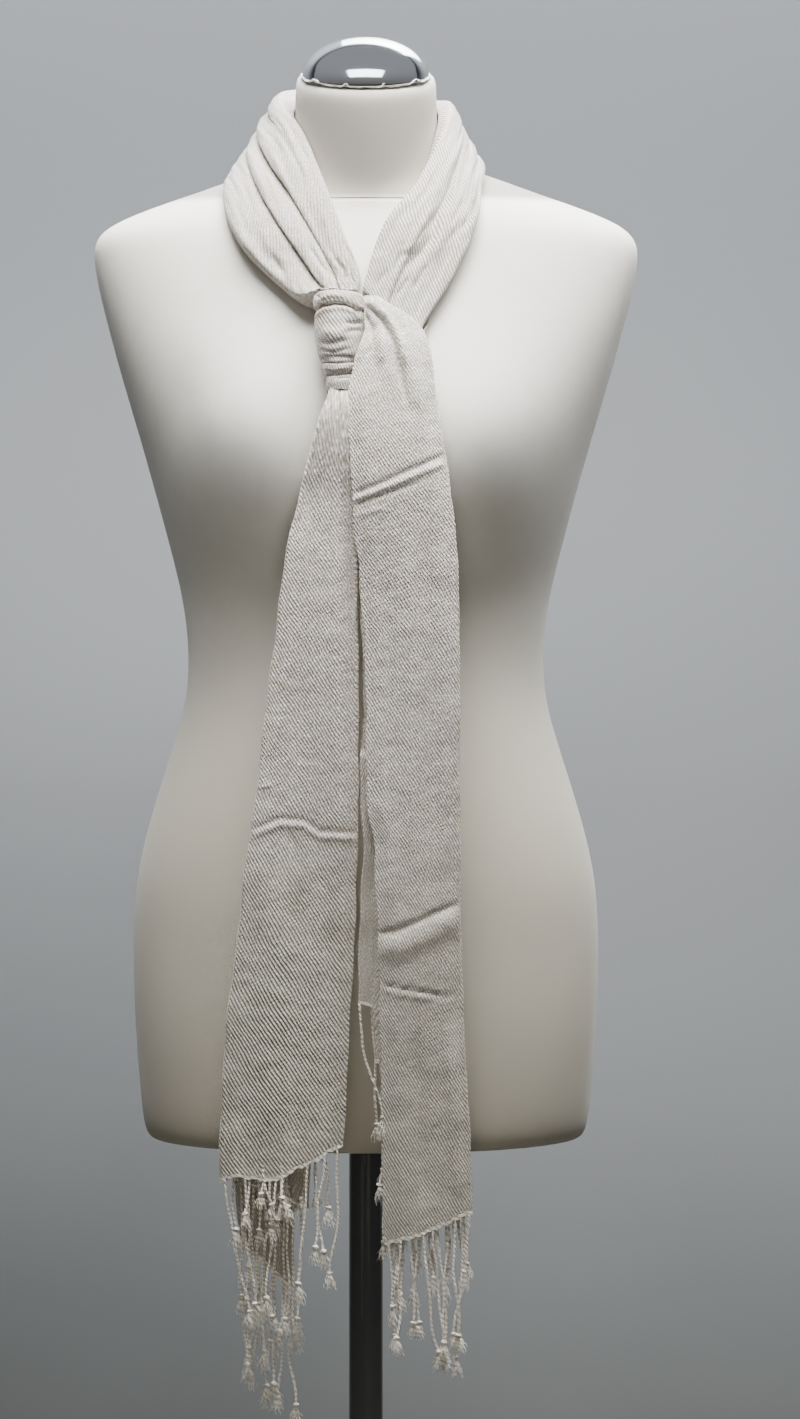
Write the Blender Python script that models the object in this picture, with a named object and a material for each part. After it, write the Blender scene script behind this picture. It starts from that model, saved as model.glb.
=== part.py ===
"""Pashmina shawl knotted round the neck of a limbless dress form on a stand.

Metres, +Z up, the front of the form faces -Y. The origin is on the floor under the pole.
The shawl is one woven panel folded into eight layers, so every stretch of it is a thin
wall that runs back and forth through its folds, lofted along the stretch.
"""
import math
from collections import namedtuple

import bmesh
import bpy
from mathutils import Matrix, Vector
from mathutils.bvhtree import BVHTree

# ---------------------------------------------------------------- cloth
WALL = 0.0012            # cloth wall
SEAM = 0.0003            # clearance between neighbouring pieces
LAYERS = 8               # the panel is folded in half three times
STRANDS_PER_LAYER = 6

# ---------------------------------------------------------------- dress form and stand
BODY_SIDES = 32
CAP_RADIUS = 0.045
CAP_HEIGHT = 0.027
NECK_TILT = math.radians(22.0)       # the neck's cut slopes down to the front
NECK_CENTRE_Y = -0.012
POLE_RADIUS = 0.012
FLANGE_RADIUS = 0.032
FLANGE_THICKNESS = 0.004
BASE_RADIUS = 0.175
BASE_THICKNESS = 0.009
BOSS_RADIUS = 0.024
BOSS_HEIGHT = 0.042
SOCKET_FLOOR = 0.006                 # floor of the pole's socket in the base
SOCKET_GAP = 0.00042                 # round the pole; its facets come closer
EDGE_ROUND = 0.003                   # broken edges of the foot
BOSS_FILLET = 0.010
PLATE_FALL = 0.012                   # rim of the plate that slopes away

BodyRing = namedtuple("BodyRing", "height tilt half_width front back squareness")
BODY_RINGS = (
    #         height  tilt half_w   front    back   squareness
    BodyRing(0.7000,  0.0, 0.1500, -0.0970, 0.1040, 2.3),
    BodyRing(0.7035,  0.0, 0.1555, -0.1020, 0.1090, 2.3),
    BodyRing(0.7110,  0.0, 0.1590, -0.1050, 0.1120, 2.3),
    BodyRing(0.7405,  0.0, 0.1620, -0.1075, 0.1170, 2.3),
    BodyRing(0.7900,  0.0, 0.1655, -0.1085, 0.1220, 2.3),
    BodyRing(0.8400,  0.0, 0.1670, -0.1080, 0.1240, 2.2),
    BodyRing(0.8780,  0.0, 0.1650, -0.1070, 0.1215, 2.2),
    BodyRing(0.9060,  0.0, 0.1600, -0.1050, 0.1160, 2.2),
    BodyRing(0.9400,  0.0, 0.1507, -0.1015, 0.1050, 2.2),
    BodyRing(0.9850,  0.0, 0.1360, -0.0955, 0.0885, 2.1),
    BodyRing(1.0120,  0.0, 0.1285, -0.0920, 0.0800, 2.1),
    BodyRing(1.0400,  0.0, 0.1264, -0.0900, 0.0760, 2.1),
    BodyRing(1.0720,  0.0, 0.1292, -0.0920, 0.0780, 2.1),
    BodyRing(1.0975,  0.0, 0.1342, -0.0950, 0.0830, 2.1),
    BodyRing(1.1460,  0.0, 0.1470, -0.1020, 0.0940, 2.2),
    BodyRing(1.1950,  0.0, 0.1607, -0.1060, 0.1020, 2.3),
    BodyRing(1.2370,  0.0, 0.1735, -0.1020, 0.1050, 2.4),
    BodyRing(1.2700,  0.0, 0.1825, -0.0930, 0.1030, 2.5),
    BodyRing(1.2970,  0.0, 0.1896, -0.0835, 0.0985, 2.5),
    BodyRing(1.3260,  1.0, 0.1956, -0.0720, 0.0910, 2.5),
    BodyRing(1.3400,  2.0, 0.1935, -0.0660, 0.0860, 2.5),
    BodyRing(1.3505,  5.0, 0.1820, -0.0625, 0.0815, 2.4),
    BodyRing(1.3620, 10.0, 0.1560, -0.0595, 0.0760, 2.3),
    BodyRing(1.3720, 15.0, 0.1250, -0.0580, 0.0700, 2.2),
    BodyRing(1.3820, 21.0, 0.0930, -0.0570, 0.0640, 2.0),
    BodyRing(1.3875, 23.0, 0.0700, -0.0558, 0.0560, 2.0),
    BodyRing(1.3940, 22.0, 0.0560, -0.0550, 0.0500, 2.0),
    BodyRing(1.4060, 22.0, 0.0515, -0.0565, 0.0465, 2.0),
    BodyRing(1.4340, 22.0, 0.0507, -0.0590, 0.0415, 2.0),
    BodyRing(1.4508, 22.0, 0.0505, -0.0600, 0.0385, 2.0),
    BodyRing(1.4563, 22.0, 0.0490, -0.0585, 0.0360, 2.0),
    BodyRing(1.4593, 22.0, 0.0440, -0.0528, 0.0288, 2.0),
)
NECK_TOP = Vector((0.0, NECK_CENTRE_Y, BODY_RINGS[-1].height + NECK_CENTRE_Y * math.tan(NECK_TILT)))
BUST = {"side": 0.078, "height": 1.178, "rise": 0.036, "radius": 0.078}
BLADE = {"side": 0.075, "height": 1.270, "rise": 0.008, "radius": 0.075}
SEAT = {"side": 0.062, "height": 0.860, "rise": 0.010, "radius": 0.070}
MOUND_FALL = 1.6         # how fast a mound falls away from its middle
MOUND_SPREAD = 0.7       # how evenly it wraps round the ring


def signed_power(value, power):
    return math.copysign(abs(value) ** power, value)


def spline(rows, position):
    """Catmull-Rom value of a table of equal-length number rows at a fractional row index."""
    last = len(rows) - 1
    index = min(int(position), last - 1)
    part = position - index
    before = rows[max(index - 1, 0)]
    first = rows[index]
    second = rows[index + 1]
    after = rows[min(index + 2, last)]
    values = []
    for a, b, c, d in zip(before, first, second, after):
        values.append(0.5 * (2 * b + (c - a) * part + (2 * a - 5 * b + 4 * c - d) * part ** 2
                             + (3 * b - a - 3 * c + d) * part ** 3))
    return values


def table_value(rows, key, column):
    """Smooth value of a table column at a key; rows are sorted by falling first column."""
    keys = [row[0] for row in rows]
    if key >= keys[0]:
        return rows[0][column]
    if key <= keys[-1]:
        return rows[-1][column]
    index = next(i for i in range(len(keys) - 1) if keys[i] >= key >= keys[i + 1])
    part = (keys[index] - key) / (keys[index] - keys[index + 1])
    first = rows[index][column]
    second = rows[index + 1][column]
    gap = keys[index + 1] - keys[index]
    slopes = []
    for i in (index, index + 1):
        low = max(i - 1, 0)
        high = min(i + 1, len(rows) - 1)
        slopes.append((rows[high][column] - rows[low][column]) / (keys[high] - keys[low]) * gap)
    square = part * part
    cube = square * part
    return ((2 * cube - 3 * square + 1) * first + (cube - 2 * square + part) * slopes[0]
            + (3 * square - 2 * cube) * second + (cube - square) * slopes[1])


def smooth_step(low, high, value):
    part = min(max((value - low) / (high - low), 0.0), 1.0)
    return part * part * (3 - 2 * part)


# ---------------------------------------------------------------- scene helpers
def clear_scene():
    for obj in list(bpy.data.objects):
        bpy.data.objects.remove(obj, do_unlink=True)


def make_material(name, colour, roughness, metallic=0.0):
    material = bpy.data.materials.new(name)
    material.use_nodes = True
    shader = material.node_tree.nodes["Principled BSDF"]
    shader.inputs["Base Color"].default_value = (*colour, 1.0)
    shader.inputs["Roughness"].default_value = roughness
    shader.inputs["Metallic"].default_value = metallic
    return material


def add_object(name, bm, material, collection, smooth_angle=40.0):
    mesh = bpy.data.meshes.new(name)
    bm.to_mesh(mesh)
    bm.free()
    mesh.materials.append(material)
    mesh.shade_smooth()
    mesh.set_sharp_from_angle(angle=math.radians(smooth_angle))
    obj = bpy.data.objects.new(name, mesh)
    collection.objects.link(obj)
    return obj


def loft_closed(rings):
    """A closed solid through rings of equally many points, with both ends filled."""
    bm = bmesh.new()
    loops = [[bm.verts.new(point) for point in ring] for ring in rings]
    count = len(loops[0])
    for lower, upper in zip(loops, loops[1:]):
        for i in range(count):
            j = (i + 1) % count
            bm.faces.new((lower[i], lower[j], upper[j], upper[i]))
    bm.faces.new(reversed(loops[0]))
    bm.faces.new(loops[-1])
    bmesh.ops.recalc_face_normals(bm, faces=bm.faces)
    return bm


def loft_wall(front_rings, back_rings):
    """A cloth wall: two sheets of points, one wall apart, joined round their border."""
    bm = bmesh.new()
    front = [[bm.verts.new(point) for point in ring] for ring in front_rings]
    back = [[bm.verts.new(point) for point in ring] for ring in back_rings]
    rows = len(front)
    columns = len(front[0])
    for r in range(rows - 1):
        for c in range(columns - 1):
            bm.faces.new((front[r][c], front[r][c + 1], front[r + 1][c + 1], front[r + 1][c]))
            bm.faces.new((back[r][c], back[r + 1][c], back[r + 1][c + 1], back[r][c + 1]))
    for r in range(rows - 1):
        bm.faces.new((front[r][0], front[r + 1][0], back[r + 1][0], back[r][0]))
        bm.faces.new((front[r + 1][-1], front[r][-1], back[r][-1], back[r + 1][-1]))
    for c in range(columns - 1):
        bm.faces.new((front[0][c + 1], front[0][c], back[0][c], back[0][c + 1]))
        bm.faces.new((front[-1][c], front[-1][c + 1], back[-1][c + 1], back[-1][c]))
    bmesh.ops.recalc_face_normals(bm, faces=bm.faces)
    return bm


def offset_line(points, distance):
    """A 2D line of points moved sideways by a distance, mitred at its corners."""
    moved = []
    for i, point in enumerate(points):
        before = points[max(i - 1, 0)]
        after = points[min(i + 1, len(points) - 1)]
        first = (point - before).normalized() if i else (after - point).normalized()
        second = (after - point).normalized() if i < len(points) - 1 else first
        along = (first + second)
        along = along.normalized() if along.length > 1e-6 else first
        across = Vector((-along.y, along.x))
        stretch = 1.0 / max(across.dot(Vector((-first.y, first.x))), 0.7)
        moved.append(point + across * distance * stretch)
    return moved


# ---------------------------------------------------------------- dress form
def body_point(row, angle):
    """A point of the form's skin: a rounded ring, tilted down to the front, with soft mounds."""
    height, tilt, half_width, front, back, squareness = row
    side = half_width * signed_power(math.cos(angle), 2 / squareness)
    reach = signed_power(math.sin(angle), 2 / squareness)
    depth = (back if reach > 0 else -front) * reach
    point = Vector((side, depth, height + depth * math.tan(math.radians(tilt))))
    for mound, facing in ((BUST, -1), (BLADE, 1), (SEAT, 1)):
        away = math.hypot(abs(point.x) - mound["side"], point.z - mound["height"])
        swell = math.exp(-(away / mound["radius"]) ** 2 * MOUND_FALL)
        point.y += facing * mound["rise"] * swell * max(reach * facing, 0.0) ** MOUND_SPREAD
    return point


def build_body(collection, jersey):
    rings = []
    for row in BODY_RINGS:
        angles = (2 * math.pi * i / BODY_SIDES for i in range(BODY_SIDES))
        rings.append([body_point(row, angle) for angle in angles])
    return add_object("form_body", loft_closed(rings), jersey, collection, 60.0)


def build_cap(collection, chrome):
    """The chrome dome on the neck's sloping cut: half an ellipsoid with a short rolled rim."""
    bm = bmesh.new()
    bmesh.ops.create_uvsphere(bm, u_segments=24, v_segments=12, radius=CAP_RADIUS)
    bmesh.ops.bisect_plane(bm, geom=bm.verts[:] + bm.edges[:] + bm.faces[:], dist=1e-6,
                           plane_co=(0, 0, 0), plane_no=(0, 0, -1), clear_outer=True)
    bmesh.ops.holes_fill(bm, edges=[edge for edge in bm.edges if edge.is_boundary])
    place = (Matrix.Translation(NECK_TOP) @ Matrix.Rotation(NECK_TILT, 4, "X")
             @ Matrix.Translation((0, 0, SEAM)) @ Matrix.Diagonal((1, 1, CAP_HEIGHT / CAP_RADIUS, 1)))
    bmesh.ops.transform(bm, matrix=place, verts=bm.verts)
    bmesh.ops.recalc_face_normals(bm, faces=bm.faces)
    add_object("form_cap", bm, chrome, collection)


def turned(profile, sides):
    """A solid of revolution about Z from (radius, height) points, closed at the axis."""
    bm = bmesh.new()
    verts = [bm.verts.new((radius, 0, height)) for radius, height in profile]
    edges = [bm.edges.new(pair) for pair in zip(verts, verts[1:])]
    bmesh.ops.spin(bm, geom=verts + edges, cent=(0, 0, 0), axis=(0, 0, 1), angle=2 * math.pi,
                   steps=sides, use_merge=True)
    bmesh.ops.remove_doubles(bm, verts=bm.verts, dist=1e-6)
    bmesh.ops.dissolve_degenerate(bm, edges=bm.edges, dist=1e-6)
    bmesh.ops.recalc_face_normals(bm, faces=bm.faces)
    return bm


def build_stand(collection, chrome, steel):
    underside = BODY_RINGS[0].height
    top = underside - SEAM
    foot = SOCKET_FLOOR + SEAM
    pole = [(0, top), (FLANGE_RADIUS, top), (FLANGE_RADIUS, top - FLANGE_THICKNESS),
            (POLE_RADIUS, top - FLANGE_THICKNESS), (POLE_RADIUS, foot), (0, foot)]
    add_object("stand_pole", turned(pole, 24), chrome, collection)
    edge = EDGE_ROUND
    socket = POLE_RADIUS + SOCKET_GAP
    base = [(0, SOCKET_FLOOR), (socket, SOCKET_FLOOR), (socket, BOSS_HEIGHT),
            (BOSS_RADIUS - edge, BOSS_HEIGHT), (BOSS_RADIUS, BOSS_HEIGHT - edge),
            (BOSS_RADIUS, BASE_THICKNESS + BOSS_FILLET),
            (BOSS_RADIUS + BOSS_FILLET, BASE_THICKNESS + edge),
            (BASE_RADIUS - PLATE_FALL, BASE_THICKNESS), (BASE_RADIUS - edge, BASE_THICKNESS - edge / 2),
            (BASE_RADIUS, BASE_THICKNESS - edge), (BASE_RADIUS, edge / 2),
            (BASE_RADIUS - edge / 2, 0), (0, 0)]
    add_object("stand_base", turned(base, 32), steel, collection)


# ---------------------------------------------------------------- neck loop
# Each section runs from the edge that lies on the neck to the edge that lies on the shoulder.
Section = namedtuple("Section", "top_x top_y top_z low_x low_y low_z rise sink groove_a groove_b groove_c")
NECK_LOOP = (
    #        inner edge on the neck      outer edge on the body     rise    sink   grooves across the width
    Section(-0.0040, -0.1080, 1.2897, -0.0305, -0.1085, 1.2900, 0.0030, 0.0085, 0.24, 0.48, 0.73),
    Section(-0.0048, -0.1010, 1.3080, -0.0430, -0.1020, 1.2850, 0.0050, 0.0140, 0.20, 0.40, 0.66),
    Section(-0.0134, -0.0900, 1.3299, -0.0557, -0.0930, 1.2930, 0.0060, 0.0170, 0.17, 0.36, 0.62),
    Section(-0.0277, -0.0650, 1.3703, -0.0867, -0.0760, 1.3270, 0.0070, 0.0190, 0.18, 0.36, 0.61),
    Section(-0.0438, -0.0360, 1.4106, -0.0997, -0.0470, 1.3610, 0.0070, 0.0200, 0.22, 0.45, 0.65),
    Section(-0.0610, 0.0060, 1.4420, -0.1020, 0.0080, 1.3920, 0.0070, 0.0200, 0.24, 0.47, 0.66),
    Section(-0.0500, 0.0440, 1.4560, -0.0780, 0.0640, 1.4070, 0.0070, 0.0200, 0.25, 0.48, 0.70),
    Section(0.0000, 0.0620, 1.4600, 0.0000, 0.0860, 1.4100, 0.0070, 0.0200, 0.27, 0.50, 0.74),
    Section(0.0480, 0.0440, 1.4560, 0.0730, 0.0640, 1.4070, 0.0070, 0.0200, 0.30, 0.52, 0.78),
    Section(0.0585, 0.0060, 1.4418, 0.0890, 0.0080, 1.3915, 0.0070, 0.0200, 0.34, 0.58, 0.80),
    Section(0.0504, -0.0320, 1.4061, 0.0850, -0.0440, 1.3705, 0.0070, 0.0200, 0.35, 0.59, 0.80),
    Section(0.0354, -0.0610, 1.3703, 0.0778, -0.0720, 1.3418, 0.0070, 0.0190, 0.36, 0.58, 0.80),
    Section(0.0140, -0.0870, 1.3396, 0.0635, -0.0870, 1.3057, 0.0060, 0.0170, 0.36, 0.58, 0.80),
    Section(0.0002, -0.1040, 1.2960, 0.0413, -0.1050, 1.2680, 0.0030, 0.0130, 0.34, 0.57, 0.79),
    Section(0.0012, -0.1065, 1.2880, 0.0405, -0.1075, 1.2600, 0.0020, 0.0110, 0.34, 0.57, 0.79),
)
# Where the loop is cut into the stretches that show, counted in sections, and each one's rings.
NECK_SPANS = {
    "shawl_neck_left": (0.0, 4.993, 12),
    "shawl_neck_back": (5.0, 8.993, 10),
    "shawl_neck_right": (9.0, 13.35, 12),
}
LIE_CLEAR = 0.0015       # the cloth's wall keeps this off the form, so that no chord dips into it
LIE_ROUNDS = 4           # steps in which a point is lifted off the form
LIE_SLANT = 0.35         # the steepest slant over which it is lifted in full
SLOT_FLOOR = 0.0011      # half the spacing of the two walls at the bottom of a groove
SLOT_MOUTH = 0.0021      # half the spacing of the two walls at the mouth of a groove
SLOT_REACH = 0.72        # how deep a groove goes, as a share of the edges' depth
HEM_INSET = 0.0008       # the turned-down edges stand in a little
HEM_TUCK = 0.0022        # and in further at their ends
HEM_MIDDLE = 0.45        # share of their depth where they start to tuck in
LOBE_FULL = 0.010        # a lobe narrower than this stands lower
LOBE_START, LOBE_END = 0.30, 0.70    # the flat top of a lobe, as shares of its width
LOBE_SHOULDER, LOBE_TOP = 0.35, 0.92  # its heights at the sides and on top, as shares of the rise


def pleat_line(section, width):
    """The gathered cloth's section: lobes that stand out, with a slot folded in between them."""
    grooves = [section.groove_a * width, section.groove_b * width, section.groove_c * width]
    rise = section.rise
    sink = section.sink
    line = [Vector((HEM_TUCK, -sink)), Vector((HEM_INSET, -sink * HEM_MIDDLE))]
    edges = [HEM_INSET] + grooves + [width - HEM_INSET]
    for lobe, (left, right) in enumerate(zip(edges, edges[1:])):
        inset_left = SLOT_MOUTH if lobe else 0.0
        inset_right = SLOT_MOUTH if lobe < len(grooves) else 0.0
        start = left + inset_left
        end = right - inset_right
        height = rise * min(1.0, (end - start) / LOBE_FULL)
        line.append(Vector((start, height * LOBE_SHOULDER)))
        line.append(Vector((start + (end - start) * LOBE_START, height * LOBE_TOP)))
        line.append(Vector((start + (end - start) * LOBE_END, height * LOBE_TOP)))
        line.append(Vector((end, height * LOBE_SHOULDER)))
        if lobe < len(grooves):
            line.append(Vector((right - SLOT_FLOOR, -sink * SLOT_REACH)))
            line.append(Vector((right + SLOT_FLOOR, -sink * SLOT_REACH)))
    line += [Vector((width - HEM_INSET, -sink * HEM_MIDDLE)), Vector((width - HEM_TUCK, -sink))]
    return line


def neck_frame(position):
    """The section at a place along the loop: its values, corner, direction across and way out."""
    last = len(NECK_LOOP) - 1
    section = Section(*spline(NECK_LOOP, position))
    ahead = Section(*spline(NECK_LOOP, min(position + 0.05, last)))
    behind = Section(*spline(NECK_LOOP, max(position - 0.05, 0)))
    top = Vector(section[0:3])
    low = Vector(section[3:6])
    along = Vector(ahead[0:3]) + Vector(ahead[3:6]) - Vector(behind[0:3]) - Vector(behind[3:6])
    across = (low - top).normalized()
    out = along.cross(across).normalized()
    return section, top, across, out, (low - top).length


def lay_on_form(form, line, top, across, out):
    """Lift the points of a section that would sink into the form until they lie on it."""
    room = LIE_CLEAR + WALL / 2
    for point in line:
        for _ in range(LIE_ROUNDS):
            place = top + across * point.x + out * point.y
            surface, normal, _, _ = form.find_nearest(place)
            above = (place - surface).dot(normal)
            if above >= room:
                break
            point.y += (room - above) / max(out.dot(normal), LIE_SLANT)


def build_neck(collection, cloth, form, name):
    start, end, rings = NECK_SPANS[name]
    sheets = ([], [])
    for step in range(rings):
        section, top, across, out, width = neck_frame(start + (end - start) * step / (rings - 1))
        line = pleat_line(section, width)
        lay_on_form(form, line, top, across, out)
        for sheet, distance in zip(sheets, (WALL / 2, -WALL / 2)):
            moved = offset_line(line, distance)
            sheet.append([top + across * point.x + out * point.y for point in moved])
    add_object(name, loft_wall(*sheets), cloth, collection, 60.0)


# ---------------------------------------------------------------- knot
KnotRing = namedtuple("KnotRing", "height centre_x centre_y half_width half_depth")
KNOT = (
    #        height   centre_x centre_y half_w  half_d
    KnotRing(1.2843, -0.0160, -0.1117, 0.0172, 0.0138),
    KnotRing(1.2828, -0.0160, -0.1121, 0.0184, 0.0150),
    KnotRing(1.2795, -0.0160, -0.1130, 0.0186, 0.0153),
    KnotRing(1.2755, -0.0158, -0.1142, 0.0182, 0.0148),
    KnotRing(1.2728, -0.0156, -0.1150, 0.0166, 0.0132),
    KnotRing(1.2695, -0.0154, -0.1158, 0.0180, 0.0150),
    KnotRing(1.2610, -0.0154, -0.1182, 0.0182, 0.0154),
    KnotRing(1.2520, -0.0156, -0.1206, 0.0176, 0.0150),
    KnotRing(1.2420, -0.0164, -0.1232, 0.0162, 0.0140),
    KnotRing(1.2380, -0.0167, -0.1242, 0.0146, 0.0124),
    KnotRing(1.2340, -0.0170, -0.1252, 0.0156, 0.0136),
    KnotRing(1.2295, -0.0174, -0.1264, 0.0142, 0.0122),
    KnotRing(1.2250, -0.0178, -0.1274, 0.0144, 0.0124),
    KnotRing(1.2215, -0.0181, -0.1282, 0.0130, 0.0112),
)
KNOT_SIDES = 22
KNOT_SLOPE = -0.06       # the turns run down a little to the right
KNOT_ARCH = 0.0030       # and ride higher in front than behind
KNOT_WALL = 1.15 * WALL  # its facets and slope thin the wall, so it is set in a little more


def build_knot(collection, cloth):
    fronts = []
    backs = []
    for row in KNOT:
        front = []
        back = []
        for i in range(KNOT_SIDES):
            angle = 2 * math.pi * i / KNOT_SIDES
            for ring, inset in ((front, 0.0), (back, KNOT_WALL)):
                side = (row.half_width - inset) * math.cos(angle)
                depth = (row.half_depth - inset) * math.sin(angle)
                lift = side * KNOT_SLOPE - KNOT_ARCH * math.sin(angle)
                ring.append(Vector((row.centre_x + side, row.centre_y + depth, row.height + lift)))
        fronts.append(front)
        backs.append(back)
    bm = bmesh.new()
    outer = [[bm.verts.new(point) for point in ring] for ring in fronts]
    inner = [[bm.verts.new(point) for point in ring] for ring in backs]
    for c in range(KNOT_SIDES):
        d = (c + 1) % KNOT_SIDES
        for r in range(len(KNOT) - 1):
            bm.faces.new((outer[r][c], outer[r][d], outer[r + 1][d], outer[r + 1][c]))
            bm.faces.new((inner[r][c], inner[r + 1][c], inner[r + 1][d], inner[r][d]))
        bm.faces.new((outer[0][d], outer[0][c], inner[0][c], inner[0][d]))
        bm.faces.new((outer[-1][c], outer[-1][d], inner[-1][d], inner[-1][c]))
    bmesh.ops.recalc_face_normals(bm, faces=bm.faces)
    add_object("shawl_knot", bm, cloth, collection, 60.0)


# ---------------------------------------------------------------- tails
# One row for each height: the front layer's two edges, how far the back layer's edges lie from
# them, the front layer's face and the spacing of the layers.
TailRow = namedtuple("TailRow", "height left right left_shift right_shift front step")
TAIL_LEFT = (
    TailRow(1.2760, -0.0235, -0.0085, 0.0000, 0.0000, -0.1212, 0.0019),
    TailRow(1.2500, -0.0233, -0.0083, 0.0000, 0.0000, -0.1280, 0.0019),
    TailRow(1.2215, -0.0256, -0.0106, 0.0000, 0.0000, -0.1352, 0.0019),
    TailRow(1.2100, -0.0300, -0.0100, 0.0000, 0.0000, -0.1378, 0.0019),
    TailRow(1.1990, -0.0340, -0.0096, 0.0000, 0.0000, -0.1395, 0.0020),
    TailRow(1.1722, -0.0415, -0.0080, 0.0000, 0.0000, -0.1425, 0.0022),
    TailRow(1.1454, -0.0457, -0.0062, 0.0000, 0.0000, -0.1435, 0.0023),
    TailRow(1.1052, -0.0534, -0.0042, 0.0000, 0.0000, -0.1435, 0.0023),
    TailRow(1.0114, -0.0655, -0.0030, 0.0000, -0.0020, -0.1435, 0.0023),
    TailRow(0.9443, -0.0735, -0.0022, 0.0000, -0.0060, -0.1435, 0.0023),
    TailRow(0.8773, -0.0823, -0.0036, 0.0000, -0.0130, -0.1435, 0.0023),
    TailRow(0.8103, -0.0903, -0.0068, 0.0000, -0.0220, -0.1435, 0.0023),
    TailRow(0.7433, -0.0963, -0.0105, 0.0010, -0.0300, -0.1435, 0.0023),
    TailRow(0.6917, -0.0975, -0.0126, 0.0030, -0.0330, -0.1435, 0.0023),
    TailRow(0.6100, -0.0975, -0.0126, 0.0060, -0.0340, -0.1435, 0.0023),
)
TAIL_RIGHT = (
    TailRow(1.2790, -0.0005, 0.0110, 0.0060, 0.0000, -0.1290, 0.0021),
    TailRow(1.2697, 0.0000, 0.0300, 0.0090, -0.0020, -0.1315, 0.0022),
    TailRow(1.2604, 0.0000, 0.0400, 0.0095, -0.0020, -0.1340, 0.0022),
    TailRow(1.2511, -0.0027, 0.0436, 0.0095, -0.0010, -0.1370, 0.0021),
    TailRow(1.2378, -0.0071, 0.0463, 0.0080, 0.0000, -0.1399, 0.0021),
    TailRow(1.2171, -0.0089, 0.0483, 0.0060, 0.0000, -0.1440, 0.0021),
    TailRow(1.1845, -0.0072, 0.0536, 0.0030, 0.0000, -0.1485, 0.0022),
    TailRow(1.1445, -0.0052, 0.0589, 0.0010, 0.0000, -0.1505, 0.0023),
    TailRow(1.1046, -0.0033, 0.0629, 0.0005, 0.0000, -0.1505, 0.0023),
    TailRow(1.0779, -0.0020, 0.0636, -0.0005, 0.0000, -0.1505, 0.0023),
    TailRow(1.0113, 0.0017, 0.0643, -0.0030, 0.0000, -0.1505, 0.0023),
    TailRow(0.9447, 0.0040, 0.0643, -0.0050, 0.0000, -0.1505, 0.0023),
    TailRow(0.8781, 0.0080, 0.0649, -0.0100, 0.0000, -0.1505, 0.0023),
    TailRow(0.8115, 0.0105, 0.0663, -0.0150, 0.0000, -0.1505, 0.0023),
    TailRow(0.7449, 0.0116, 0.0703, -0.0130, -0.0020, -0.1505, 0.0023),
    TailRow(0.6500, 0.0130, 0.0742, -0.0060, -0.0030, -0.1505, 0.0023),
)
# A tail's layers in the order in which the cloth runs through them: each layer's place from the
# front, and the height of the hem where the layer starts. The last number is where it ends.
LEFT_LAYERS = (4, 3, 2, 1, 0, 5, 6, 7)
LEFT_HEM = (0.7960, 0.7755, 0.7554, 0.7352, 0.7145, 0.6917, 0.6716, 0.6461, 0.6160)
RIGHT_LAYERS = (7, 6, 5, 4, 3, 2, 1, 0)
RIGHT_HEM = (0.8110, 0.7910, 0.7710, 0.7510, 0.7310, 0.7110, 0.6910, 0.6710, 0.6510)
LAYER_POINTS = 4                     # points across one layer, between its two folds
WAVE_DEPTH = 0.0008                  # soft lengthwise waves that all layers share
WAVE_LENGTH = 0.085
WAVE_DRIFT = 0.25        # sideways drift of a wave for each unit of height
WAVE_START, WAVE_FULL = 0.05, 0.16   # how far below the tail's top the waves start and are full
FOLD_ROOM = 0.0016                   # a fold's layers round one another: the outer one goes further
FOLD_MIDDLE = (0.5,)                 # points round a fold to the next layer, as shares of its depth
FOLD_WIDE = (0.22, 0.78)             # points round a fold that takes other layers in
NEST_ROOM = 0.0042                   # layers inside a wide fold stay this far short of it
NEST_TIGHT = 0.45                    # and this share of it where the tail is gathered
GATHERED, SPREAD = 0.012, 0.030      # widths between which a tail goes from gathered to spread
LEVEL_END = 0.8380                   # above this every layer is cut at the same heights
HEM_SLICES = (0.08, 0.30, 0.65, 1.0)  # below it, shares of the way down to each layer's hem
LEFT_LEVELS = (1.276, 1.222, 1.199, 1.172, 1.105, 1.011, 0.943, 0.929, 0.915, 0.880, LEVEL_END)
RIGHT_LEVELS = (1.279, 1.266, 1.251, 1.230, 1.200, 1.172, 1.160, 1.148, 1.070, 0.970, 0.882,
                0.864, 0.850, LEVEL_END)

# Creases pressed across the tail: height where it crosses the middle, slope, depth (backwards),
# reach, and how many layers it goes through.
Crease = namedtuple("Crease", "height middle slope depth reach layers")
LEFT_CREASES = (Crease(0.9290, -0.0380, -0.06, 0.0020, 0.011, 8),)
RIGHT_CREASES = (
    Crease(1.1600, 0.0270, 0.18, 0.0020, 0.011, 8),
    Crease(0.8640, 0.0350, 0.18, 0.0020, 0.012, 8),
    Crease(0.8230, 0.0320, -0.20, -0.0028, 0.010, 1),
)


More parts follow.
